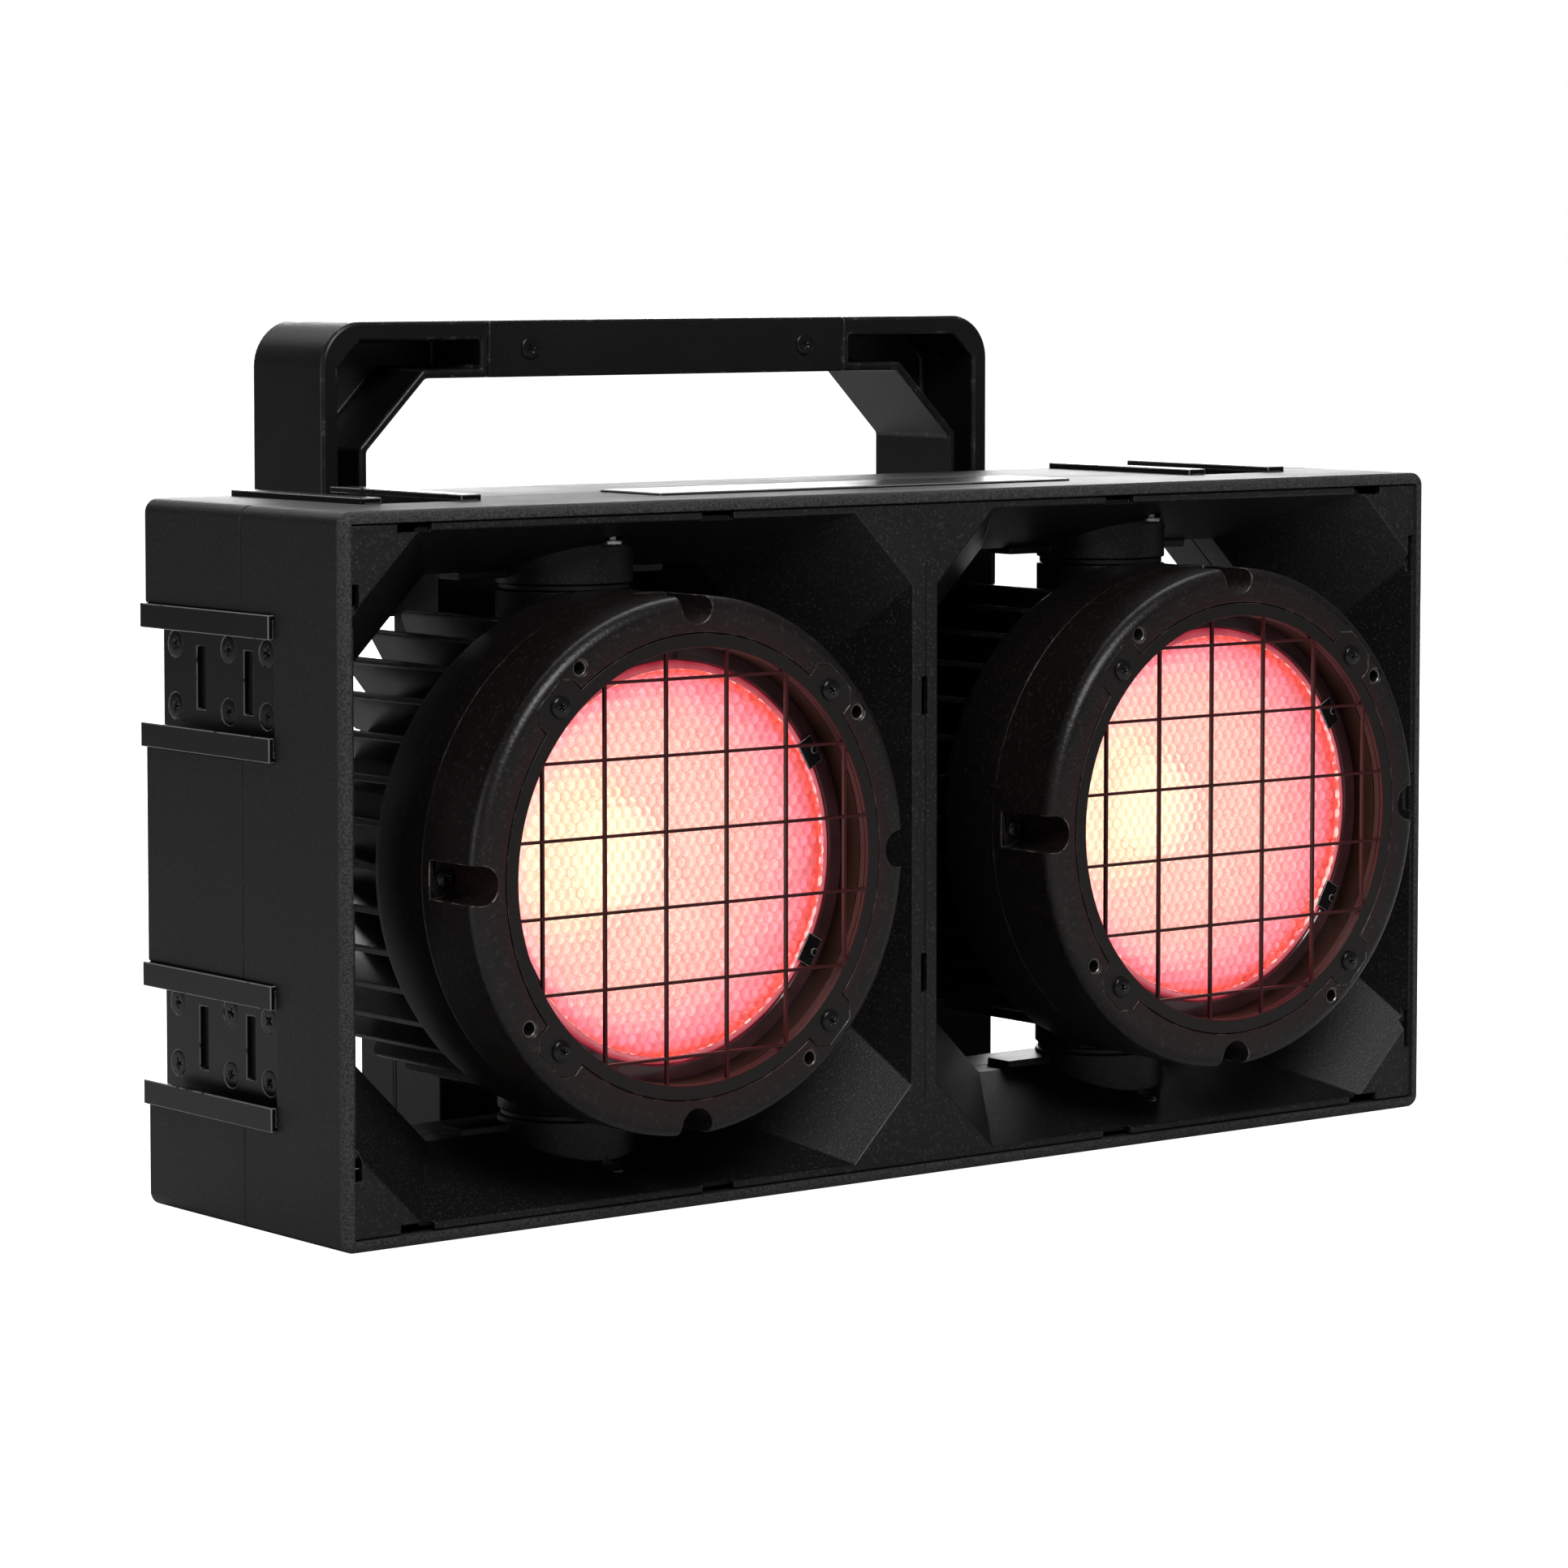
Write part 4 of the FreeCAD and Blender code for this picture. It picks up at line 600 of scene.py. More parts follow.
def moulded_grain():
    """Fine pebbled grain of moulded plastic, or the orange peel and sparkle of powder coat."""
    g = Group("moulded grain", "ShaderNodeTree", {"Place": "Vector", "Scale": "Float"},
              {"Height": "Float", "Speck": "Float"})
    place, scale = g.given("Place"), g.given("Scale")
    pebble = g.node("ShaderNodeTexVoronoi", {"feature": "SMOOTH_F1"}, Vector=place, Scale=scale)
    fine = g.noise(place, g.times(scale, 1.7), detail=3.0, rough=0.6)
    height = g.plus(g.times(pebble.outputs["Distance"], 0.7), g.times(fine, 0.6))
    speck = g.spread(g.noise(place, g.times(scale, 0.8), detail=1.0), 0.58, 0.72)
    return g.give(Height=height, Speck=speck)


def handling_marks():
    """Broad patches and faint streaks left by hands and cases, as a share from 0 to 1."""
    g = Group("handling marks", "ShaderNodeTree", {"Place": "Vector", "Scale": "Float"},
              {"Patch": "Float", "Streak": "Float"})
    place, scale = g.given("Place"), g.given("Scale")
    patch = g.spread(g.noise(place, scale, detail=4.0, rough=0.65), 0.35, 0.7)
    lines = g.noise(g.stretched(place, (1.0, 1.0, 9.0)), g.times(scale, 6.0), detail=3.0)
    return g.give(Patch=patch, Streak=g.spread(lines, 0.6, 0.75))


def edge_scuffs_and_highlights():
    """Scuffs and painted highlights on rounded edges, broken up by noise, as a share from 0 to 1.
    """
    g = Group("worn edges", "ShaderNodeTree",
              {"Place": "Vector", "Edge": "Float", "Amount": "Float"}, {"Worn": "Float"})
    amount = g.given("Amount")
    broken = g.noise(g.given("Place"), 160.0, detail=5.0, rough=0.7)
    rubbed_and_lit = g.math("GREATER_THAN", broken, g.minus(0.85, g.times(amount, 0.5)))
    soft = g.times(g.spread(broken, 0.3, 0.7, 0.0, 0.55), amount)
    return g.give(Worn=g.times(g.math("MAXIMUM", rubbed_and_lit, soft), g.given("Edge")))


GRAIN = moulded_grain()
MARKS = handling_marks()
SCUFFS_AND_HIGHLIGHTS = edge_scuffs_and_highlights()


# Materials

class Finish(Graph):
    """A material with its Principled shader, and the parts that most finishes share."""

    def __init__(self, name, material=None):
        self.material = material or bpy.data.materials.new(name)
        self.material.use_nodes = True
        super().__init__(self.material.node_tree)
        self.skin = self.tree.nodes["Principled BSDF"]
        self.place = self.node("ShaderNodeTexCoord").outputs["Object"]

    def set(self, **values):
        """Sets sockets of the shader, to a value or a link, and gives the material."""
        for key, value in values.items():
            self.feed(self.skin.inputs[key.replace("_", " ")], value)
        return self.material

    def before(self, label):
        """What feeds a socket of the shader so far."""
        return self.skin.inputs[label].links[0].from_socket

    def group(self, tree, **links):
        return self.node("ShaderNodeGroup", {"node_tree": tree}, Place=self.place, **links).outputs

    def marks(self, scale):
        return self.group(MARKS, Scale=scale)

    def varied(self, base, mask, gain):
        """A level that rises with a mask."""
        return self.plus(base, self.times(mask, gain))

    def bump(self, height, depth):
        """Bumps by a height, its depth in millimetres."""
        bumped = self.out("ShaderNodeBump", Height=height, Strength=1.0, Distance=depth * MM)
        return self.set(Normal=bumped)

    def attribute(self, name):
        return self.node("ShaderNodeAttribute", {"attribute_name": name}).outputs["Fac"]


def grey(value, warm=0.0):
    """A grey, a little towards red where warm is above zero."""
    return (value * (1 + warm), value, value * (1 - warm * 0.5))


# tone, roughness, grain's scale, its depth in millimetres, sparkle, amount of edge scuffing
# and painted edge highlight, tone of the scuffed and highlit edges, warmth and gloss
COATS = {
    "case_black": (0.008, 0.46, 1300, 0.05, 0.04, 0.35, 0.07, 0.02, 0.5),
    "funnel_black": (0.010, 0.4, 1500, 0.06, 0.07, 0.2, 0.04, 0.02, 0.5),
    "bracket_black": (0.003, 0.27, 2200, 0.012, 0.008, 0.9, 0.26, 0.0, 0.5),
    "head_black": (0.005, 0.42, 900, 0.05, 0.02, 0.5, 0.06, 0.2, 0.4),
    "bezel_black": (0.009, 0.34, 750, 0.1, 0.03, 0.6, 0.16, 0.2, 0.5),
    "guard_black": (0.007, 0.38, 1800, 0.015, 0.01, 0.6, 0.07, 0.3, 0.5),
    "spacer_black": (0.004, 0.5, 2400, 0.02, 0.005, 0.1, 0.09, 2.0, 0.3),
    "handle_black": (0.006, 0.34, 1700, 0.03, 0.015, 0.5, 0.08, 0.02, 0.5),
    "screw_black": (0.006, 0.22, 2500, 0.01, 0.01, 1.0, 0.5, 0.0, 0.5),
    "driver_metal": (0.009, 0.42, 1600, 0.03, 0.03, 0.5, 0.12, 0.02, 0.5),
    "bush_black": (0.010, 0.4, 2000, 0.015, 0.01, 0.2, 0.09, 0.02, 0.5),
    "rubber_black": (0.014, 0.62, 2400, 0.02, 0.01, 0.1, 0.09, 0.02, 0.5),
    "button_grey": (0.09, 0.55, 2200, 0.02, 0.03, 0.5, 0.09, 0.02, 0.5)}


def black_coat(kind, name=None):
    """Black moulding or powder coat: grain, sparkle, hand marks, and rounded edges paler from
    scuffs and a painted highlight.
    """
    tone, rough, scale, depth, sparkle, wear_and_highlight, rubbed_and_lit, warm, gloss = COATS[kind]
    f = Finish(name or kind)
    grain = f.group(GRAIN, Scale=scale)
    marks = f.marks(14.0)
    # rounded edges made paler: partly scuffed wear, partly a painted highlight
    scuff_and_highlight = f.group(SCUFFS_AND_HIGHLIGHTS, Edge=f.attribute("edge"), Amount=wear_and_highlight)["Worn"]
    base = f.blend(marks["Patch"], grey(tone, warm), grey(tone * 1.35, warm))
    base = f.blend(f.times(grain["Speck"], 0.6), base, grey(tone + sparkle, warm))
    base = f.blend(scuff_and_highlight, base, grey(rubbed_and_lit, warm))
    level = f.varied(rough, marks["Patch"], 0.07)
    level = f.minus(level, f.times(marks["Streak"], 0.06))
    level = f.math("SUBTRACT", level, f.times(scuff_and_highlight, 0.08), clamp=True)
    f.set(Base_Color=base, Roughness=level, Specular_IOR_Level=gloss)
    return f.bump(grain["Height"], depth)


def rim_black():
    """The front shell's coat, rougher and paler along the rounded front rim."""
    f = Finish("", black_coat("case_black", "rim_black"))
    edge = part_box("front_shell")[0].y + RIM_ROUND
    band = f.spread(f.parts(f.place)[1], edge + 0.3 * MM, edge - 0.5 * MM)
    coarse = f.spread(f.noise(f.place, 1500.0, detail=3.0), 0.35, 0.65)
    pale = f.blend(coarse, grey(0.02, 0.04), grey(0.075, 0.04))
    return f.set(Base_Color=f.blend(band, f.before("Base Color"), pale),
                 Roughness=f.varied(f.before("Roughness"), band, 0.15))


def from_axis(f, side, aside=0.0, above=0.0):
    """How far a point of a head's piece lies from the optical axis, or a line beside it."""
    centre = head_front(side)
    own = f.out("ShaderNodeMapping", Vector=f.place, Scale=(1.0, 0.0, 1.0),
                Location=(-centre.x - aside, 0.0, -centre.z - above))
    return f.length(own)


def red_light_painted(kind, side, inner, outer, colour):
    """A coat with the lens's red light painted on it, full within one radius and gone at another.
    """
    f = Finish("", black_coat(kind, side + "_" + kind))
    inside = f.spread(from_axis(f, side), outer, inner)
    return f.set(Base_Color=f.blend(inside, f.before("Base Color"), colour))


def bezel_black(side):
    """Sand-cast ring with a satin coat: a coarser, uneven grain, warm in tone, with the lens's red
    light painted on near the window.
    """
    return red_light_painted("bezel_black", side, WINDOW_RADIUS, 84 * MM, (0.034, 0.006, 0.008))


def guard_black(side):
    """The guard's coat, with the lens's red light painted on the bars and the edge that the lens
    lights.
    """
    return red_light_painted("guard_black", side, WINDOW_RADIUS + 0.1 * MM, WINDOW_RADIUS + 0.6 * MM,
                    (0.055, 0.003, 0.005))


# colour, roughness and the scale of the marks
METALS = {"bright_screw": ((0.62, 0.62, 0.6), 0.22, 60.0),
          "pivot_steel": ((0.45, 0.45, 0.44), 0.28, 40.0),
          "insert_brass": ((0.34, 0.31, 0.28), 0.3, 90.0)}


def bright_metal(name, colour, rough, scale):
    """Plated or turned metal with fine scratches and a dulled patch here and there."""
    f = Finish(name)
    patch = f.marks(scale)["Patch"]
    dull = tuple(part * 0.72 for part in colour)
    f.set(Base_Color=f.blend(patch, colour, dull), Metallic=1.0,
          Roughness=f.varied(rough, patch, 0.14))
    return f.bump(f.noise(f.place, 1800.0, detail=3.0), 0.006)


def display_dark():
    """A smoked window over a display that is switched off."""
    f = Finish("display_dark")
    marks = f.marks(40.0)
    return f.set(Base_Color=f.blend(marks["Streak"], grey(0.006), grey(0.012)),
                 Roughness=f.varied(0.06, marks["Patch"], 0.08), Coat_Weight=1.0)


def board_green():
    """Circuit board lacquer, darker between the tracks."""
    f = Finish("board_green")
    tracks = f.node("ShaderNodeTexBrick", Vector=f.place, Scale=90.0).outputs["Fac"]
    return f.set(Base_Color=f.blend(tracks, (0.008, 0.05, 0.02), (0.03, 0.11, 0.05)),
                 Roughness=f.spread(f.noise(f.place, 400.0), 0.3, 0.7, 0.3, 0.45))


def colour_steps(f, value, stops):
    """A colour ramp with the given (position, colour) stops."""
    ramp = f.node("ShaderNodeValToRGB", Fac=value)
    elements = ramp.color_ramp.elements
    while len(elements) < len(stops):
        elements.new(0.5)
    for element, (position, colour) in zip(elements, stops):
        element.position = position
        element.color = (*colour, 1.0)
    return ramp.outputs[0]


def lamp_colours(f, side):
    """The lamp's light as colour: on the lamp itself, and painted on the reflector as its
    reflection; a painted yellow-white hot spot beside the axis, then peach, pink and red.
    """
    away = f.over(from_axis(f, side), LENS_RADIUS)
    wide = colour_steps(f, away, (
        (0.0, (1.0, 0.70, 0.58)), (0.50, (1.0, 0.68, 0.58)), (0.70, (1.0, 0.56, 0.50)),
        (0.82, (0.97, 0.42, 0.45)), (0.91, (0.9, 0.24, 0.32)), (0.955, (0.88, 0.08, 0.06))))
    spot = f.spread(from_axis(f, side, HOT_ASIDE, HOT_ABOVE), HOT_RADIUS * 0.72, HOT_RADIUS * 1.25,
                    1.0, 0.0)
    return f.blend(spot, wide, (1.0, 0.95, 0.66))


def bowl_glow(side):
    """The reflector with the lamp's light painted on as emission, and a painted glint in each fine
    dimple.
    """
    f = Finish(side + "_bowl_glow")
    dimple = f.node("ShaderNodeTexVoronoi", {"feature": "F1"}, Vector=f.place, Scale=420.0)
    dimple_glint = f.spread(dimple.outputs["Distance"], 0.0, 0.9, 1.1, 0.7)
    level = f.out("ShaderNodeCombineColor", i0=dimple_glint, i1=dimple_glint, i2=dimple_glint)
    f.set(Base_Color=(0.16, 0.07, 0.06), Metallic=1.0, Roughness=0.3, Emission_Strength=GLOW,
          Emission_Color=f.blend(1.0, lamp_colours(f, side), level, "MULTIPLY"))
    return f.bump(dimple.outputs["Distance"], 0.3)


def lamp_glow(side):
    """The lit face of the lamp, yellow-white in the painted hot spot."""
    f = Finish(side + "_lamp_glow")
    return f.set(Base_Color=(0.2, 0.15, 0.1), Roughness=0.5, Emission_Strength=GLOW,
                 Emission_Color=lamp_colours(f, side))


def chip_glow(side):
    """The small chips on the lamp, brighter than the phosphor round them."""
    f = Finish(side + "_chip_glow")
    waver = f.spread(f.noise(f.place, 900.0), 0.3, 0.7)
    return f.set(Base_Color=(0.2, 0.2, 0.15), Roughness=0.5, Emission_Strength=GLOW * 1.1,
                 Emission_Color=f.blend(waver, lamp_colours(f, side), (1.0, 0.86, 0.5)))


def lens_glass():
    """Clear moulded glass, with painted shade in each cell along its grooves and on one side of its
    gleam.
    """
    f = Finish("lens_glass")
    groove_shade = f.times(f.math("POWER", f.attribute("border"), 3.0), 0.9)
    shade = f.math("MAXIMUM", groove_shade, f.spread(f.attribute("lean"), 0.35, -0.75))
    return f.set(Base_Color=f.blend(shade, (1.0, 1.0, 1.0), (0.82, 0.42, 0.40)),
                 Roughness=f.varied(0.02, f.marks(70.0)["Patch"], 0.03),
                 Transmission_Weight=1.0, IOR=1.46)


def lens_rim_glass():
    """The lens's bevelled rim, with the red light that it carries to its edge painted on as a glow.
    """
    f = Finish("lens_rim_glass")
    waver = f.spread(f.noise(f.place, 120.0, detail=3.0), 0.3, 0.7)
    return f.set(Base_Color=(0.9, 0.35, 0.38), Roughness=0.12, Coat_Weight=0.6,
                 Emission_Color=f.blend(waver, (0.55, 0.02, 0.05), (0.8, 0.07, 0.11)),
                 Emission_Strength=0.5)


def flange_dark():
    """The glossy dark flange round the lens, with the lens's red light painted into its colour."""
    f = Finish("flange_dark")
    patch = f.marks(50.0)["Patch"]
    return f.set(Base_Color=f.blend(patch, (0.06, 0.022, 0.025), (0.085, 0.028, 0.032)),
                 Roughness=f.varied(0.16, patch, 0.1), Coat_Weight=0.5)


LOOKS = {kind: black_coat(kind) for kind in COATS if kind not in ("bezel_black", "guard_black")}
LOOKS.update({make.__name__: make() for make in
              (rim_black, display_dark, board_green, lens_glass, lens_rim_glass, flange_dark)})
LOOKS.update({name: bright_metal(name, *row) for name, row in METALS.items()})


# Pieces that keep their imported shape, with rounded edges

# node, slot, rounding in millimetres and look
CASE_PIECES = [
    ("rear_shell", "case_black", 0.7, "case_black"),
    ("front_baffle", "case_black", 0.5, "funnel_black"),
    ("rear_baffle", "case_black", 0.5, "funnel_black"),
    ("top_plate", "case_black", 0.4, "bracket_black"),
    ("driver_box", "driver_metal", 0.6, "driver_metal"),
    ("driver_cover", "driver_metal", 0.8, "driver_metal"),
    ("cover_gasket", "gasket_rubber", 0.2, "rubber_black"),
    ("display_window", "display_dark", 0.3, "display_dark"),
    ("power_supply_board", "board_green", 0.2, "board_green"),
    ("led_driver_board", "board_green", 0.2, "board_green"),
    ("handle_frame", "case_black", 1.2, "handle_black"),
    ("handle_grip_cover", "case_black", 0.7, "handle_black")]
CASE_PIECES += [("bracket_" + place, "bracket_black", 0.35, "bracket_black") for place in
                ("left_upper", "left_lower", "right_upper", "right_lower", "top_left",
                 "top_right", "bottom_left", "bottom_right")]
CASE_PIECES += [(name + "_socket", "socket_black", 0.4, "bush_black") for name in
                ("power_in", "power_out", "data_in", "data_out")]


def case_envelope(low, high):
    """A block round the front shell, its corners rounded, with a broad round at the front edge."""
    bm = bmesh.new()
    over = 0.1 * MM
    block(bm, (low.x - over, low.y + 0.02 * MM, low.z - over),
          (high.x + over, high.y + OVER, high.z + over))
    along = [edge for edge in bm.edges
             if abs(edge.verts[0].co.y - edge.verts[1].co.y) > 1 * MM]
    bmesh.ops.bevel(bm, geom=along, offset=CASE_CORNER, segments=6, profile=0.5, affect="EDGES")
    front = [edge for edge in bm.edges
             if all(vert.co.y < low.y + 1 * MM for vert in edge.verts)]
    bmesh.ops.bevel(bm, geom=front, offset=RIM_ROUND, segments=4, profile=0.5, affect="EDGES")
    bmesh.ops.recalc_face_normals(bm, faces=bm.faces)
    return piece_from(bm, "case_envelope")


def front_shell_shape():
    """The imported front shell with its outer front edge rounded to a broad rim."""
    piece = cut_by(packed_copy("front_shell"), case_envelope(*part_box("front_shell")), "INTERSECT")
    finished(rounded(piece, 0.5 * MM), "case", "case_black", LOOKS["rim_black"], "front_shell")


def kept_shapes():
    """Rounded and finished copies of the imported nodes."""
    rows = [("case", *row) for row in CASE_PIECES]
    rows += [("button_%d" % i, "menu_button_%d" % i, "button_grey", 0.5, "button_grey")
             for i in range(1, 5)]
    for side in SIDES:
        head = side + "_head"
        rows += [("case", side + "_pivot_bushes", "bush_black", 0.4, "bush_black"),
                 (head, side + "_pivot_pins", "pivot_steel", 0.3, "pivot_steel"),
                 (head, side + "_glass_gasket", "gasket_rubber", 0.3, "spacer_black"),
                 (head, side + "_led_board", "board_green", 0.2, "board_green")]
    for body, node, slot, width, look in rows:
        finished(rounded(packed_copy(node), width * MM), body, slot, LOOKS[look], node)


# Fasteners

def cross_cutter(span, depth):
    """The tapered cross of a screw's drive recess, point down from height zero."""
    bm = bmesh.new()
    for turn in (0, 90):
        made = bmesh.ops.create_cube(bm, size=1)["verts"]
        for vert in made:
            taper = 1.0 if vert.co.z > 0 else 0.45
            vert.co = Vector((vert.co.x * span * taper, vert.co.y * span * 0.24 * taper,
                              vert.co.z * depth * 2))
        bmesh.ops.rotate(bm, verts=made, cent=(0, 0, 0),
                         matrix=Matrix.Rotation(math.radians(turn), 3, "Z"))
    return piece_from(bm, "drive_cutter", flat=list(bm.faces))


def screw_shape(name):
    """A cross-drive screw, the top of its head at height zero and its shank downwards."""
    radius, crown, skirt, shank, length = (size * MM for size in SCREWS[name])
    profile = [(0.0, 0.0)]
    for angle in map(math.radians, (25, 45, 62, 76, 90)):
        profile.append((radius * math.sin(angle) ** 0.9, -crown * (1 - math.cos(angle))))
    profile += [(radius, -crown - skirt), (shank, -crown - skirt), (shank, -length),
                (0.0, -length - shank * 0.5)]
    bm = lathe(profile, 24, closed=False)
    bm.transform(TOWARDS_FRONT)
    bmesh.ops.recalc_face_normals(bm, faces=bm.faces)
    recess = cross_cutter(radius * 1.25, min(radius * 0.55, crown + skirt * 0.9))
    return cut_by(piece_from(bm, name), recess)


def facing_bracket(low, high):
    """Which way a bracket's screw faces: the side of the case that it lies in."""
    middle = (low + high) / 2
    if abs(middle.x) > BRACKET_SIDE:
        return Vector((math.copysign(1, middle.x), 0, 0))
    return Vector((0, 0, 1 if middle.z > HALF_HEIGHT else -1))


def facing_funnel(low, high):
    """A funnel screw points into the bay, down from the roof or up from the floor."""
    return Vector((0, 0, -1 if low.z > HALF_HEIGHT else 1))


def screws(node, body, shape, facing, sunk=0.0, inward=0.0, kind="black"):
    """Screws at the places of a node's solids, their heads where the solids' heads are.

    They may be sunk further in, and on a lamp head moved inward towards its axis.
    """
    bm = bmesh.new()
    ways = []
    for low, high in islands(node):
        way = facing(low, high) if callable(facing) else Vector(facing)
        top = (low + high) / 2
        for axis in range(3):
            if way[axis]:
                top[axis] = (high if way[axis] > 0 else low)[axis]
        if inward:
            out = top - head_front(node.split("_")[0])
            out.y = 0
            top -= out.normalized() * inward
        bm.verts.new(top - way * (sunk(low) if callable(sunk) else sunk))
        ways.append(way)
    piece = piece_from(bm, node + "_finished")
    noted(piece.data, "facing", "FLOAT_VECTOR", "POINT", [part for way in ways for part in way])
    chance = random.Random(node)
    noted(piece.data, "spin", "FLOAT", "POINT", [chance.uniform(0, math.tau) for _ in ways])
    look = LOOKS["screw_black" if kind == "black" else "bright_screw"]
    FASTENERS.grown(piece, Screw=shape, Finish=look)
    finished(piece, body, kind + "_screws", look, node)


def floor_sink(low):
    """A funnel's screws are sunk at the bay's floor, and not at its roof."""
    return 0.0 if low.z > HALF_HEIGHT else FLOOR_SCREW_SINK


def all_screws():
    """Every visible fastener, each kind from its own shape."""
    shapes = {name: screw_shape(name) for name in SCREWS}
    screws("bracket_screws", "case", shapes["flat_screw"], facing_bracket)
    screws("funnel_screws", "case", shapes["roof_screw"], facing_funnel, floor_sink, kind="bright")
    screws("cover_screws", "case", shapes["cover_screw"], (0, 1, 0))
    screws("handle_screws", "case", shapes["grip_screw"], (0, -1, 0))
    for side in SIDES:
        head = side + "_head"
        screws(side + "_bezel_screws", head, shapes["pan_screw"], (0, -1, 0), NOTCH_SCREW_SINK,
               NOTCH_SCREW_INWARD)
        screws(side + "_guard_screws", head, shapes["guard_screw"], (0, -1, 0))
    for shape in shapes.values():
        taken(shape)


# Lamp heads

def guard_outline(name, front, back):
    """The guard's outer shape: a disc with four tabs, their corners cut off."""
    bm = bmesh.new()
    bar(bm, GUARD_SEAT_RADIUS, (0, front, 0), back - front, steps=160)
    disc = piece_from(bm, name)
    half = [(WINDOW_RADIUS - 2 * MM, TAB_HALF), (TAB_REACH - TAB_CORNER, TAB_HALF),
            (TAB_REACH, TAB_HALF - TAB_CORNER)]
    corners = [(radius, front, -level) for radius, level in half]
    corners += [(radius, front, level) for radius, level in reversed(half)]
    bm = bmesh.new()
    for turn in quarter_turns(GUARD_SCREW_TURN):
        prism(bm, corners, (0, back - front, 0), turn)
    bmesh.ops.recalc_face_normals(bm, faces=bm.faces)
    return cut_by(disc, piece_from(bm, "tabs"), "UNION")


def guard_shape(side):
    """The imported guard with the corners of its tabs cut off."""
    name = side + "_guard_grid"
    outline = guard_outline("outline", -2 * MM, 4 * MM)
    at_head(outline.data, side)
    guard = rounded(cut_by(packed_copy(name), outline, "INTERSECT"), 0.18 * MM)
    finished(guard, side + "_head", "guard_black", guard_black(side), name)


def bezel_cutters():
    """What is cut from the bezel: the guard's seat, the notches and insert holes."""
    slots, rounds = bmesh.new(), bmesh.new()
    for turn in quarter_turns(0):
        block(slots, (NOTCH_FLOOR, -OVER, -NOTCH_HALF),
              (HEAD_RADIUS + OVER, NOTCH_DEPTH, NOTCH_HALF), turn)
        bar(rounds, NOTCH_HALF, (NOTCH_FLOOR, -OVER, 0), OVER + NOTCH_DEPTH, turn)
    for turn in quarter_turns(INSERT_TURN):
        bar(rounds, INSERT_RADIUS, (INSERT_CIRCLE, -OVER, 0), OVER + INSERT_LENGTH, turn, 24)
    return (guard_outline("seat_cutter", -OVER, GUARD_THICK), piece_from(slots, "slot_cutter"),
            piece_from(rounds, "round_cutter"))


def bezel_shape():
    """The bezel's ring with all its cuts, about the optical axis."""
    profile = [(WINDOW_RADIUS, 0.0)]
    profile += arc((HEAD_RADIUS - BEZEL_SOFT, BEZEL_SOFT), BEZEL_SOFT, -90, 0, 8)
    profile += [(HEAD_RADIUS, BEZEL_DEPTH - SEAM_CHAMFER),
                (HEAD_RADIUS - SEAM_CHAMFER, BEZEL_DEPTH), (BORE_RADIUS, BEZEL_DEPTH),
                (BORE_RADIUS, LIP_BACK), (WINDOW_RADIUS, LIP_BACK)]
    ring = new_piece("bezel_ring", turned_mesh("bezel_ring", profile, 180))
    for cutter in bezel_cutters():
        cut_by(ring, cutter)
    bm = bmesh.new()
    bm.from_mesh(taken(ring))
    bmesh.ops.remove_doubles(bm, verts=bm.verts, dist=0.02 * MM)
    return taken(rounded(piece_from(bm, "bezel_ring"), 0.35 * MM))


def inserts_mesh():
    """The four threaded inserts: knurl-free brass sleeves with rounded mouths."""
    profile = [(INSERT_BORE, INSERT_SINK + INSERT_LIP), (INSERT_BORE + INSERT_LIP, INSERT_SINK),
               (INSERT_RADIUS, INSERT_SINK), (INSERT_RADIUS, INSERT_LENGTH),
               (INSERT_BORE, INSERT_LENGTH)]
    sleeve = turned_mesh("insert", profile, 28)
    bm = bmesh.new()
    for turn in quarter_turns(INSERT_TURN):
        copy = sleeve.copy()
        copy.transform(about_depth(turn) @ Matrix.Translation((INSERT_CIRCLE, 0, 0)))
        bm.from_mesh(copy)
    return mesh_from(bm, "inserts")


def hex_cell(pitch, rise):
    """One lens cell: a shallow dome over a pointed-top hexagon, in a few dozen faces."""
    corner = pitch / math.sqrt(3)
    bm = bmesh.new()
    middle = bm.verts.new((0, 0, 0))
    ring = [bm.verts.new((corner * math.sin(angle), corner * math.cos(angle), 0))
            for angle in (math.tau * i / 6 for i in range(6))]
    for i in range(6):
        bm.faces.new((middle, ring[(i + 1) % 6], ring[i]))
    bmesh.ops.subdivide_edges(bm, edges=bm.edges, cuts=1, use_grid_fill=True)
    for vert in bm.verts:
        away = vert.co.length / corner
        vert.co.z = rise * (1 - away * away)
    bmesh.ops.recalc_face_normals(bm, faces=bm.faces)
    if sum(face.normal.z for face in bm.faces) < 0:
        bmesh.ops.reverse_faces(bm, faces=bm.faces)
    piece = piece_from(bm, "lens_cell", sharp=180)
    spots = [piece.data.vertices[loop.vertex_index].co / corner for loop in piece.data.loops]
    noted(piece.data, "border", "FLOAT", "CORNER",
          [min(1.0, spot.to_2d().length / 0.86) for spot in spots])
    noted(piece.data, "lean", "FLOAT", "CORNER", [spot.x for spot in spots])
    return piece


def chip_cell(size):
    """One small square chip that stands on the lamp's face."""
    bm = bmesh.new()
    made = bmesh.ops.create_cube(bm, size=size)["verts"]
    bmesh.ops.translate(bm, verts=made, vec=(0, 0, -size * 0.2))
    return piece_from(bm, "lamp_chip")


def field(name, cell, radius, pitch, margin, look):
    """The mesh of a field of cells that face the front, about the optical axis."""
    piece = new_piece(name, bpy.data.meshes.new(name))
    FIELD.grown(piece, Cell=cell, Radius=radius, Pitch=pitch, Margin=margin, Finish=look)
    taken(cell)
    mesh = taken(piece)
    mesh.transform(TOWARDS_FRONT)
    return mesh


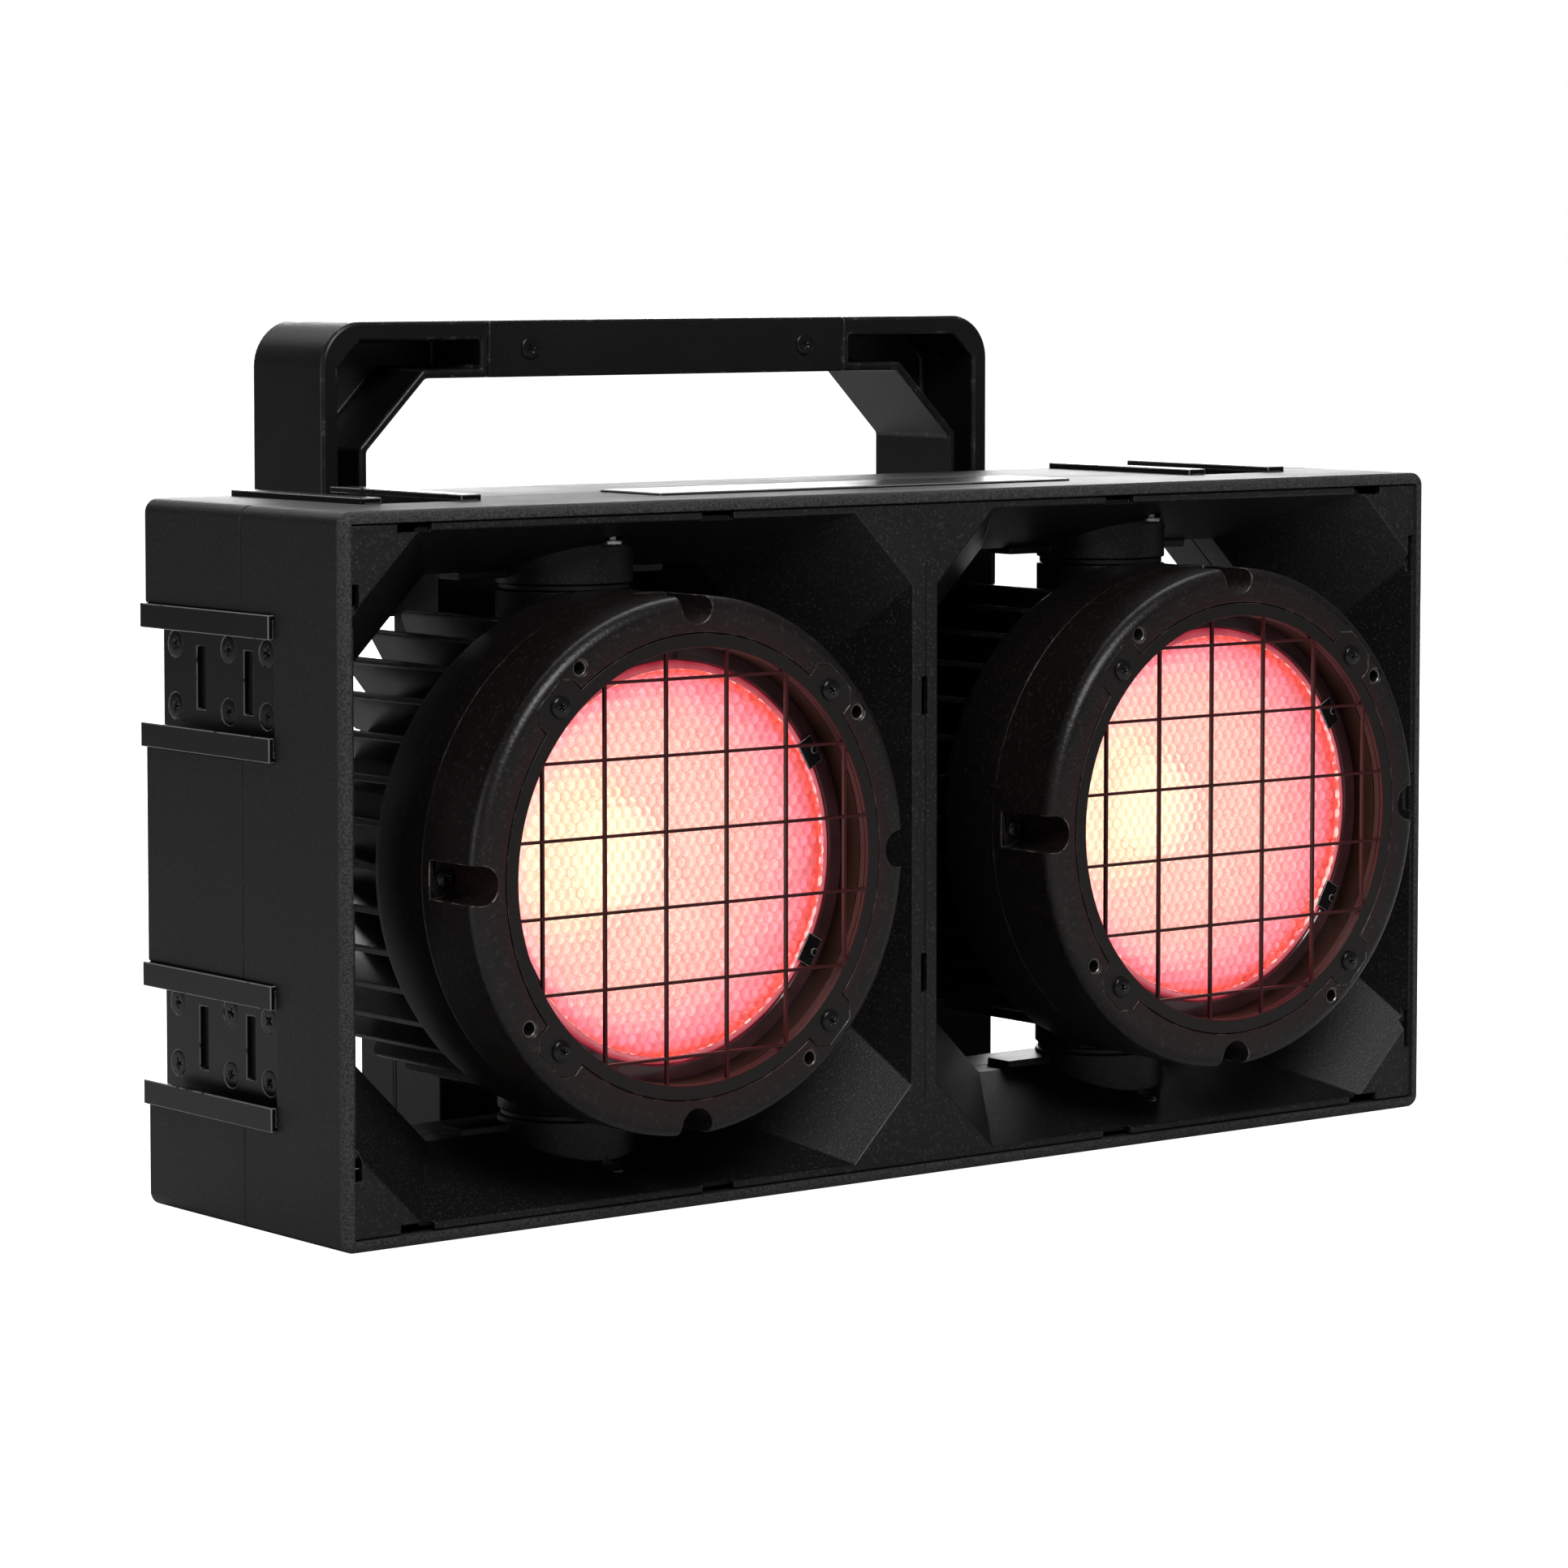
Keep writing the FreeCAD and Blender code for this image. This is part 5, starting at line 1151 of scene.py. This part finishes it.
def lens_shape():
    """The honeycomb lens, closed all round: domed cells, a plain edge and a plain back."""
    bm = bmesh.new()
    bm.from_mesh(field("lens_shape", hex_cell(CELL_PITCH, CELL_RISE), CELL_FIELD, CELL_PITCH,
                       CELL_PITCH * 0.57, LOOKS["lens_glass"]))
    bmesh.ops.remove_doubles(bm, verts=bm.verts, dist=0.04 * MM)
    bmesh.ops.dissolve_degenerate(bm, edges=bm.edges, dist=0.02 * MM)
    slivers = [face for face in bm.faces if face.calc_area() < (0.08 * MM) ** 2]
    bmesh.ops.delete(bm, geom=slivers, context="FACES")
    edges = [edge for edge in bm.edges if edge.is_boundary]
    made = bmesh.ops.extrude_edge_only(bm, edges=edges)["geom"]
    for vert in (item for item in made if isinstance(item, bmesh.types.BMVert)):
        vert.co.y = LENS_BACK - LENS_FRONT
    loop = [item for item in made if isinstance(item, bmesh.types.BMEdge)]
    back = bmesh.ops.edgeloop_fill(bm, edges=loop)["faces"]
    bmesh.ops.recalc_face_normals(bm, faces=bm.faces)
    mesh = mesh_from(bm, "lens_shape", sharp=50, flat=back)
    mesh.transform(Matrix.Translation((0, LENS_FRONT, 0)))
    return mesh


def lens_rim_mesh():
    """The lens's own rim round its field of cells."""
    inner = CELL_FIELD + 0.05 * MM
    return turned_mesh("lens_rim", [
        (inner, LENS_FRONT - 0.1 * MM), (LENS_RADIUS - 1.4 * MM, LENS_FRONT - 0.25 * MM),
        (LENS_RADIUS - 0.4 * MM, LENS_FRONT + 0.3 * MM), (LENS_RADIUS, LENS_FRONT + 1.2 * MM),
        (LENS_RADIUS, LENS_BACK), (inner, LENS_BACK)], 144, sharp=50)


def bowl_mesh():
    """The reflector's bowl, a thin wall from its mouth down to the lamp."""
    inner = [(radius * MM, depth * MM) for radius, depth in BOWL_POINTS]
    outer = [(radius + BOWL_WALL, depth) for radius, depth in reversed(inner)]
    return turned_mesh("bowl", inner + outer, 144, sharp=60)


def flange_mesh():
    """The dark flange from the lens's edge out to the spacer ring, with the lens's pocket."""
    lip = 0.4 * MM
    shelf, foot = LENS_FRONT + FLANGE_WALL, LENS_BACK + FLANGE_WALL
    return turned_mesh("flange", [
        (LENS_POCKET, LENS_FRONT + lip), (LENS_POCKET + lip, LENS_FRONT),
        (FLANGE_RADIUS, LENS_FRONT), (FLANGE_RADIUS, shelf),
        (LENS_POCKET + FLANGE_WALL, shelf), (LENS_POCKET + FLANGE_WALL, foot),
        (FLANGE_BORE, foot), (FLANGE_BORE, LENS_BACK), (LENS_POCKET, LENS_BACK)], 144)


def clips_mesh():
    """The four small clips on the flange that hold the lens."""
    bm = bmesh.new()
    for turn in CLIP_TURNS:
        block(bm, (LENS_RADIUS - 3 * MM, LENS_FRONT - 1.1 * MM, -5 * MM),
              (LENS_RADIUS + 3 * MM, LENS_FRONT - 0.3 * MM, 5 * MM), turn)
        bar(bm, 1.3 * MM, (LENS_RADIUS + 1.6 * MM, LENS_FRONT - 1.8 * MM, 0), 0.8 * MM, turn, 20)
    return taken(rounded(piece_from(bm, "lens_clips"), 0.15 * MM))


def lamp_face_mesh():
    """The lamp, with a small chamfer round its face."""
    return turned_mesh("lamp_face", [
        (0.0, LAMP_FACE), (LAMP_RADIUS - LAMP_CHAMFER, LAMP_FACE),
        (LAMP_RADIUS, LAMP_FACE + LAMP_CHAMFER), (LAMP_RADIUS, BOARD_FACE), (0.0, BOARD_FACE)],
        64, closed=False)


def side_fin():
    """One flat fin that stands out from the core, its rear corner rounded."""
    inner, corner, gap = CORE_RADIUS - 3 * MM, 3 * MM, 1 * MM
    outline = [(inner, WEB_FACE + gap), (FIN_RADIUS, WEB_FACE + gap)]
    outline += arc((FIN_RADIUS - corner, FIN_END - corner), corner, 0, 90, 4)
    outline += [(CORE_RADIUS - gap, FIN_END), (inner, CORE_BACK - gap)]
    bm = bmesh.new()
    prism(bm, [(radius, depth, -FIN_THICK / 2) for radius, depth in outline], (0, 0, FIN_THICK))
    bmesh.ops.recalc_face_normals(bm, faces=bm.faces)
    return rounded(piece_from(bm, "side_fin"), FIN_ROUND)


def upright_discs(name, radius, low, high):
    """Two discs on the pan axis, between two heights above and below the optical axis."""
    bm = bmesh.new()
    for up in (1, -1):
        made = cylinder(bm, radius, high - low, 64)
        bmesh.ops.translate(bm, verts=made, vec=(0, PAN_DEPTH, up * (high + low) / 2))
    return piece_from(bm, name)


def casting_shape():
    """The head's casting: ring, web, core, side fins, rear fins and pivot lugs."""
    body = new_piece("casting_body", turned_mesh("casting_body", [
        (BORE_RADIUS, BEZEL_DEPTH), (RING_RADIUS, BEZEL_DEPTH), (RING_RADIUS, RING_STEP),
        (RING_LIP, RING_STEP + 1.2 * MM), (RING_LIP, RING_BACK), (CORE_RADIUS, RING_BACK),
        (CORE_RADIUS, CORE_BACK), (0.0, CORE_BACK), (0.0, CORE_SEAT), (CORE_BORE, CORE_SEAT),
        (CORE_BORE, WEB_FACE), (BORE_RADIUS, WEB_FACE)], 160))
    cut_by(body, upright_discs("casting_lugs", LUG_RADIUS, LUG_START, LUG_TOP), "UNION")
    cut_by(body, upright_discs("bush_relief", LUG_RADIUS + 1 * MM, LUG_TOP, LUG_TOP + OVER))
    rounded(body, 0.4 * MM)
    fin = side_fin()
    fins = new_piece("side_fins", bpy.data.meshes.new("side_fins"))
    RIBS.grown(fins, Rib=fin, Each_Side=FIN_COUNT, Step=math.radians(FIN_STEP),
               Clear_End=FIN_CLEAR_END, Clear_Slope=FIN_CLEAR_SLOPE, Finish=LOOKS["head_black"])
    taken(fin)
    bm = bmesh.new()
    for index in range(REAR_FIN_COUNT):
        level = (index - (REAR_FIN_COUNT - 1) / 2) * REAR_FIN_PITCH
        half = math.sqrt(REAR_FIN_CIRCLE ** 2 - level ** 2)
        block(bm, (-half, CORE_BACK - 2 * MM, level - FIN_THICK / 2),
              (half, REAR_FIN_END, level + FIN_THICK / 2))
    rear = rounded(piece_from(bm, "rear_fins"), FIN_ROUND)
    bm = bmesh.new()
    for piece in (body, fins, rear):
        bm.from_mesh(taken(piece))
    return mesh_from(bm, "casting")


def lamp_chips(look):
    """The field of chips on the lamp's face."""
    mesh = field("lamp_chips", chip_cell(CHIP_SIZE), LAMP_RADIUS, CHIP_PITCH, -CHIP_PITCH / 2, look)
    mesh.transform(Matrix.Translation((0, LAMP_FACE, 0)))
    return mesh


def lamp_heads():
    """Both heads: bezel, casting, inserts, lens, flange, clips, bowl, lamp and guard."""
    rows = [("bezel_finished", bezel_shape(), "head_black", bezel_black, "bezel"),
            ("casting", casting_shape(), "head_black", "head_black", "heat_sink"),
            ("accessory_inserts_finished", inserts_mesh(), "insert_brass", "insert_brass",
             "accessory_inserts"),
            ("lens", lens_shape(), "window_glass", "lens_glass", "front_glass"),
            ("lens_rim", lens_rim_mesh(), "window_glass", "lens_rim_glass"),
            ("reflector_bowl", bowl_mesh(), "reflector_bright", bowl_glow, "reflector"),
            ("lens_flange", flange_mesh(), "head_black", "flange_dark"),
            ("lens_clips", clips_mesh(), "head_black", "screw_black"),
            ("lamp_face", lamp_face_mesh(), "led_warm", lamp_glow, "led_module")]
    for side in SIDES:
        glow = side + "_chip_glow"
        LOOKS[glow] = chip_glow(side)
        chips = ("lamp_chips", lamp_chips(LOOKS[glow]), "led_warm", glow)
        for name, mesh, slot, look, *nodes in rows + [chips]:
            piece = new_piece(side + "_" + name, at_head(mesh.copy(), side))
            finished(piece, side + "_head", slot, look(side) if callable(look) else LOOKS[look],
                     *(side + "_" + node for node in nodes))
        guard_shape(side)


# Stage

def floor():
    """A plain pale floor under the object."""
    bm = bmesh.new()
    bmesh.ops.create_grid(bm, x_segments=8, y_segments=8, size=30.0)
    piece = piece_from(bm, "floor")
    f = Finish("pale_floor")
    tint = f.spread(f.noise(f.place, 3.0), 0.3, 0.7)
    seen = f.node("ShaderNodeLightPath").outputs["Is Camera Ray"]
    piece.data.materials.append(f.set(
        Base_Color=f.blend(tint, grey(0.54), grey(0.58)), Roughness=0.7, Specular_IOR_Level=0.2,
        Emission_Color=f.blend(seen, grey(0.0), grey(1.0)), Emission_Strength=1.1))


def surround():
    """A white room to the camera, and a softer grey one as a light."""
    world = bpy.data.worlds.new("surround")
    world.use_nodes = True
    bpy.context.scene.world = world
    g = Graph(world.node_tree)
    g.tree.nodes.clear()
    light = g.out("ShaderNodeBackground", Color=(0.95, 0.97, 1.0), Strength=0.07)
    seen = g.out("ShaderNodeBackground", Color=(1.0, 1.0, 1.0), Strength=1.0)
    path = g.node("ShaderNodeLightPath").outputs["Is Camera Ray"]
    g.node("ShaderNodeOutputWorld",
           Surface=g.out("ShaderNodeMixShader", i0=path, i1=light, i2=seen))


def aimed(name, data, place, way):
    """A light or camera at a place, looking one way."""
    made = new_piece(name, data)
    made.location = place
    made.rotation_euler = way.to_track_quat("-Z", "Y").to_euler()
    return made


def lights():
    """Large soft lights: place, target, width, height and power."""
    for name, place, target, width, height, power in (
            ("key_light", (-0.45, -1.7, 1.6), (0.0, 0.0, 0.12), 0.9, 0.9, 22),
            ("top_light", (0.1, 0.9, 1.6), (0.0, 0.0, 0.2), 2.2, 1.2, 16),
            ("back_light", (1.7, 2.3, 0.75), (0.0, 0.0, 0.2), 2.0, 1.0, 40),
            ("side_light", (-1.9, 0.2, 0.5), (-0.2, 0.0, 0.12), 0.7, 1.0, 2.6)):
        light = bpy.data.lights.new(name, "AREA")
        light.shape = "RECTANGLE"
        light.size = width
        light.size_y = height
        light.energy = power
        aimed(name, light, place, Vector(target) - Vector(place)).visible_camera = False


def camera():
    """The camera of the photograph."""
    data = bpy.data.cameras.new("camera")
    data.lens = CAMERA_LENS
    data.sensor_width = CAMERA_SENSOR
    data.shift_y = CAMERA_SHIFT
    data.clip_start = 0.05
    data.clip_end = 50
    yaw = math.radians(CAMERA_YAW)
    pitch = math.radians(CAMERA_PITCH)
    way = Vector((math.sin(yaw) * math.cos(pitch), math.cos(yaw) * math.cos(pitch),
                  math.sin(pitch)))
    bpy.context.scene.camera = aimed("camera", data, CAMERA_PLACE, way)


front_shell_shape()
kept_shapes()
all_screws()
lamp_heads()
floor()
surround()
lights()
camera()
bpy.context.scene.view_settings.view_transform = "Standard"

bpy.context.view_layer.update()
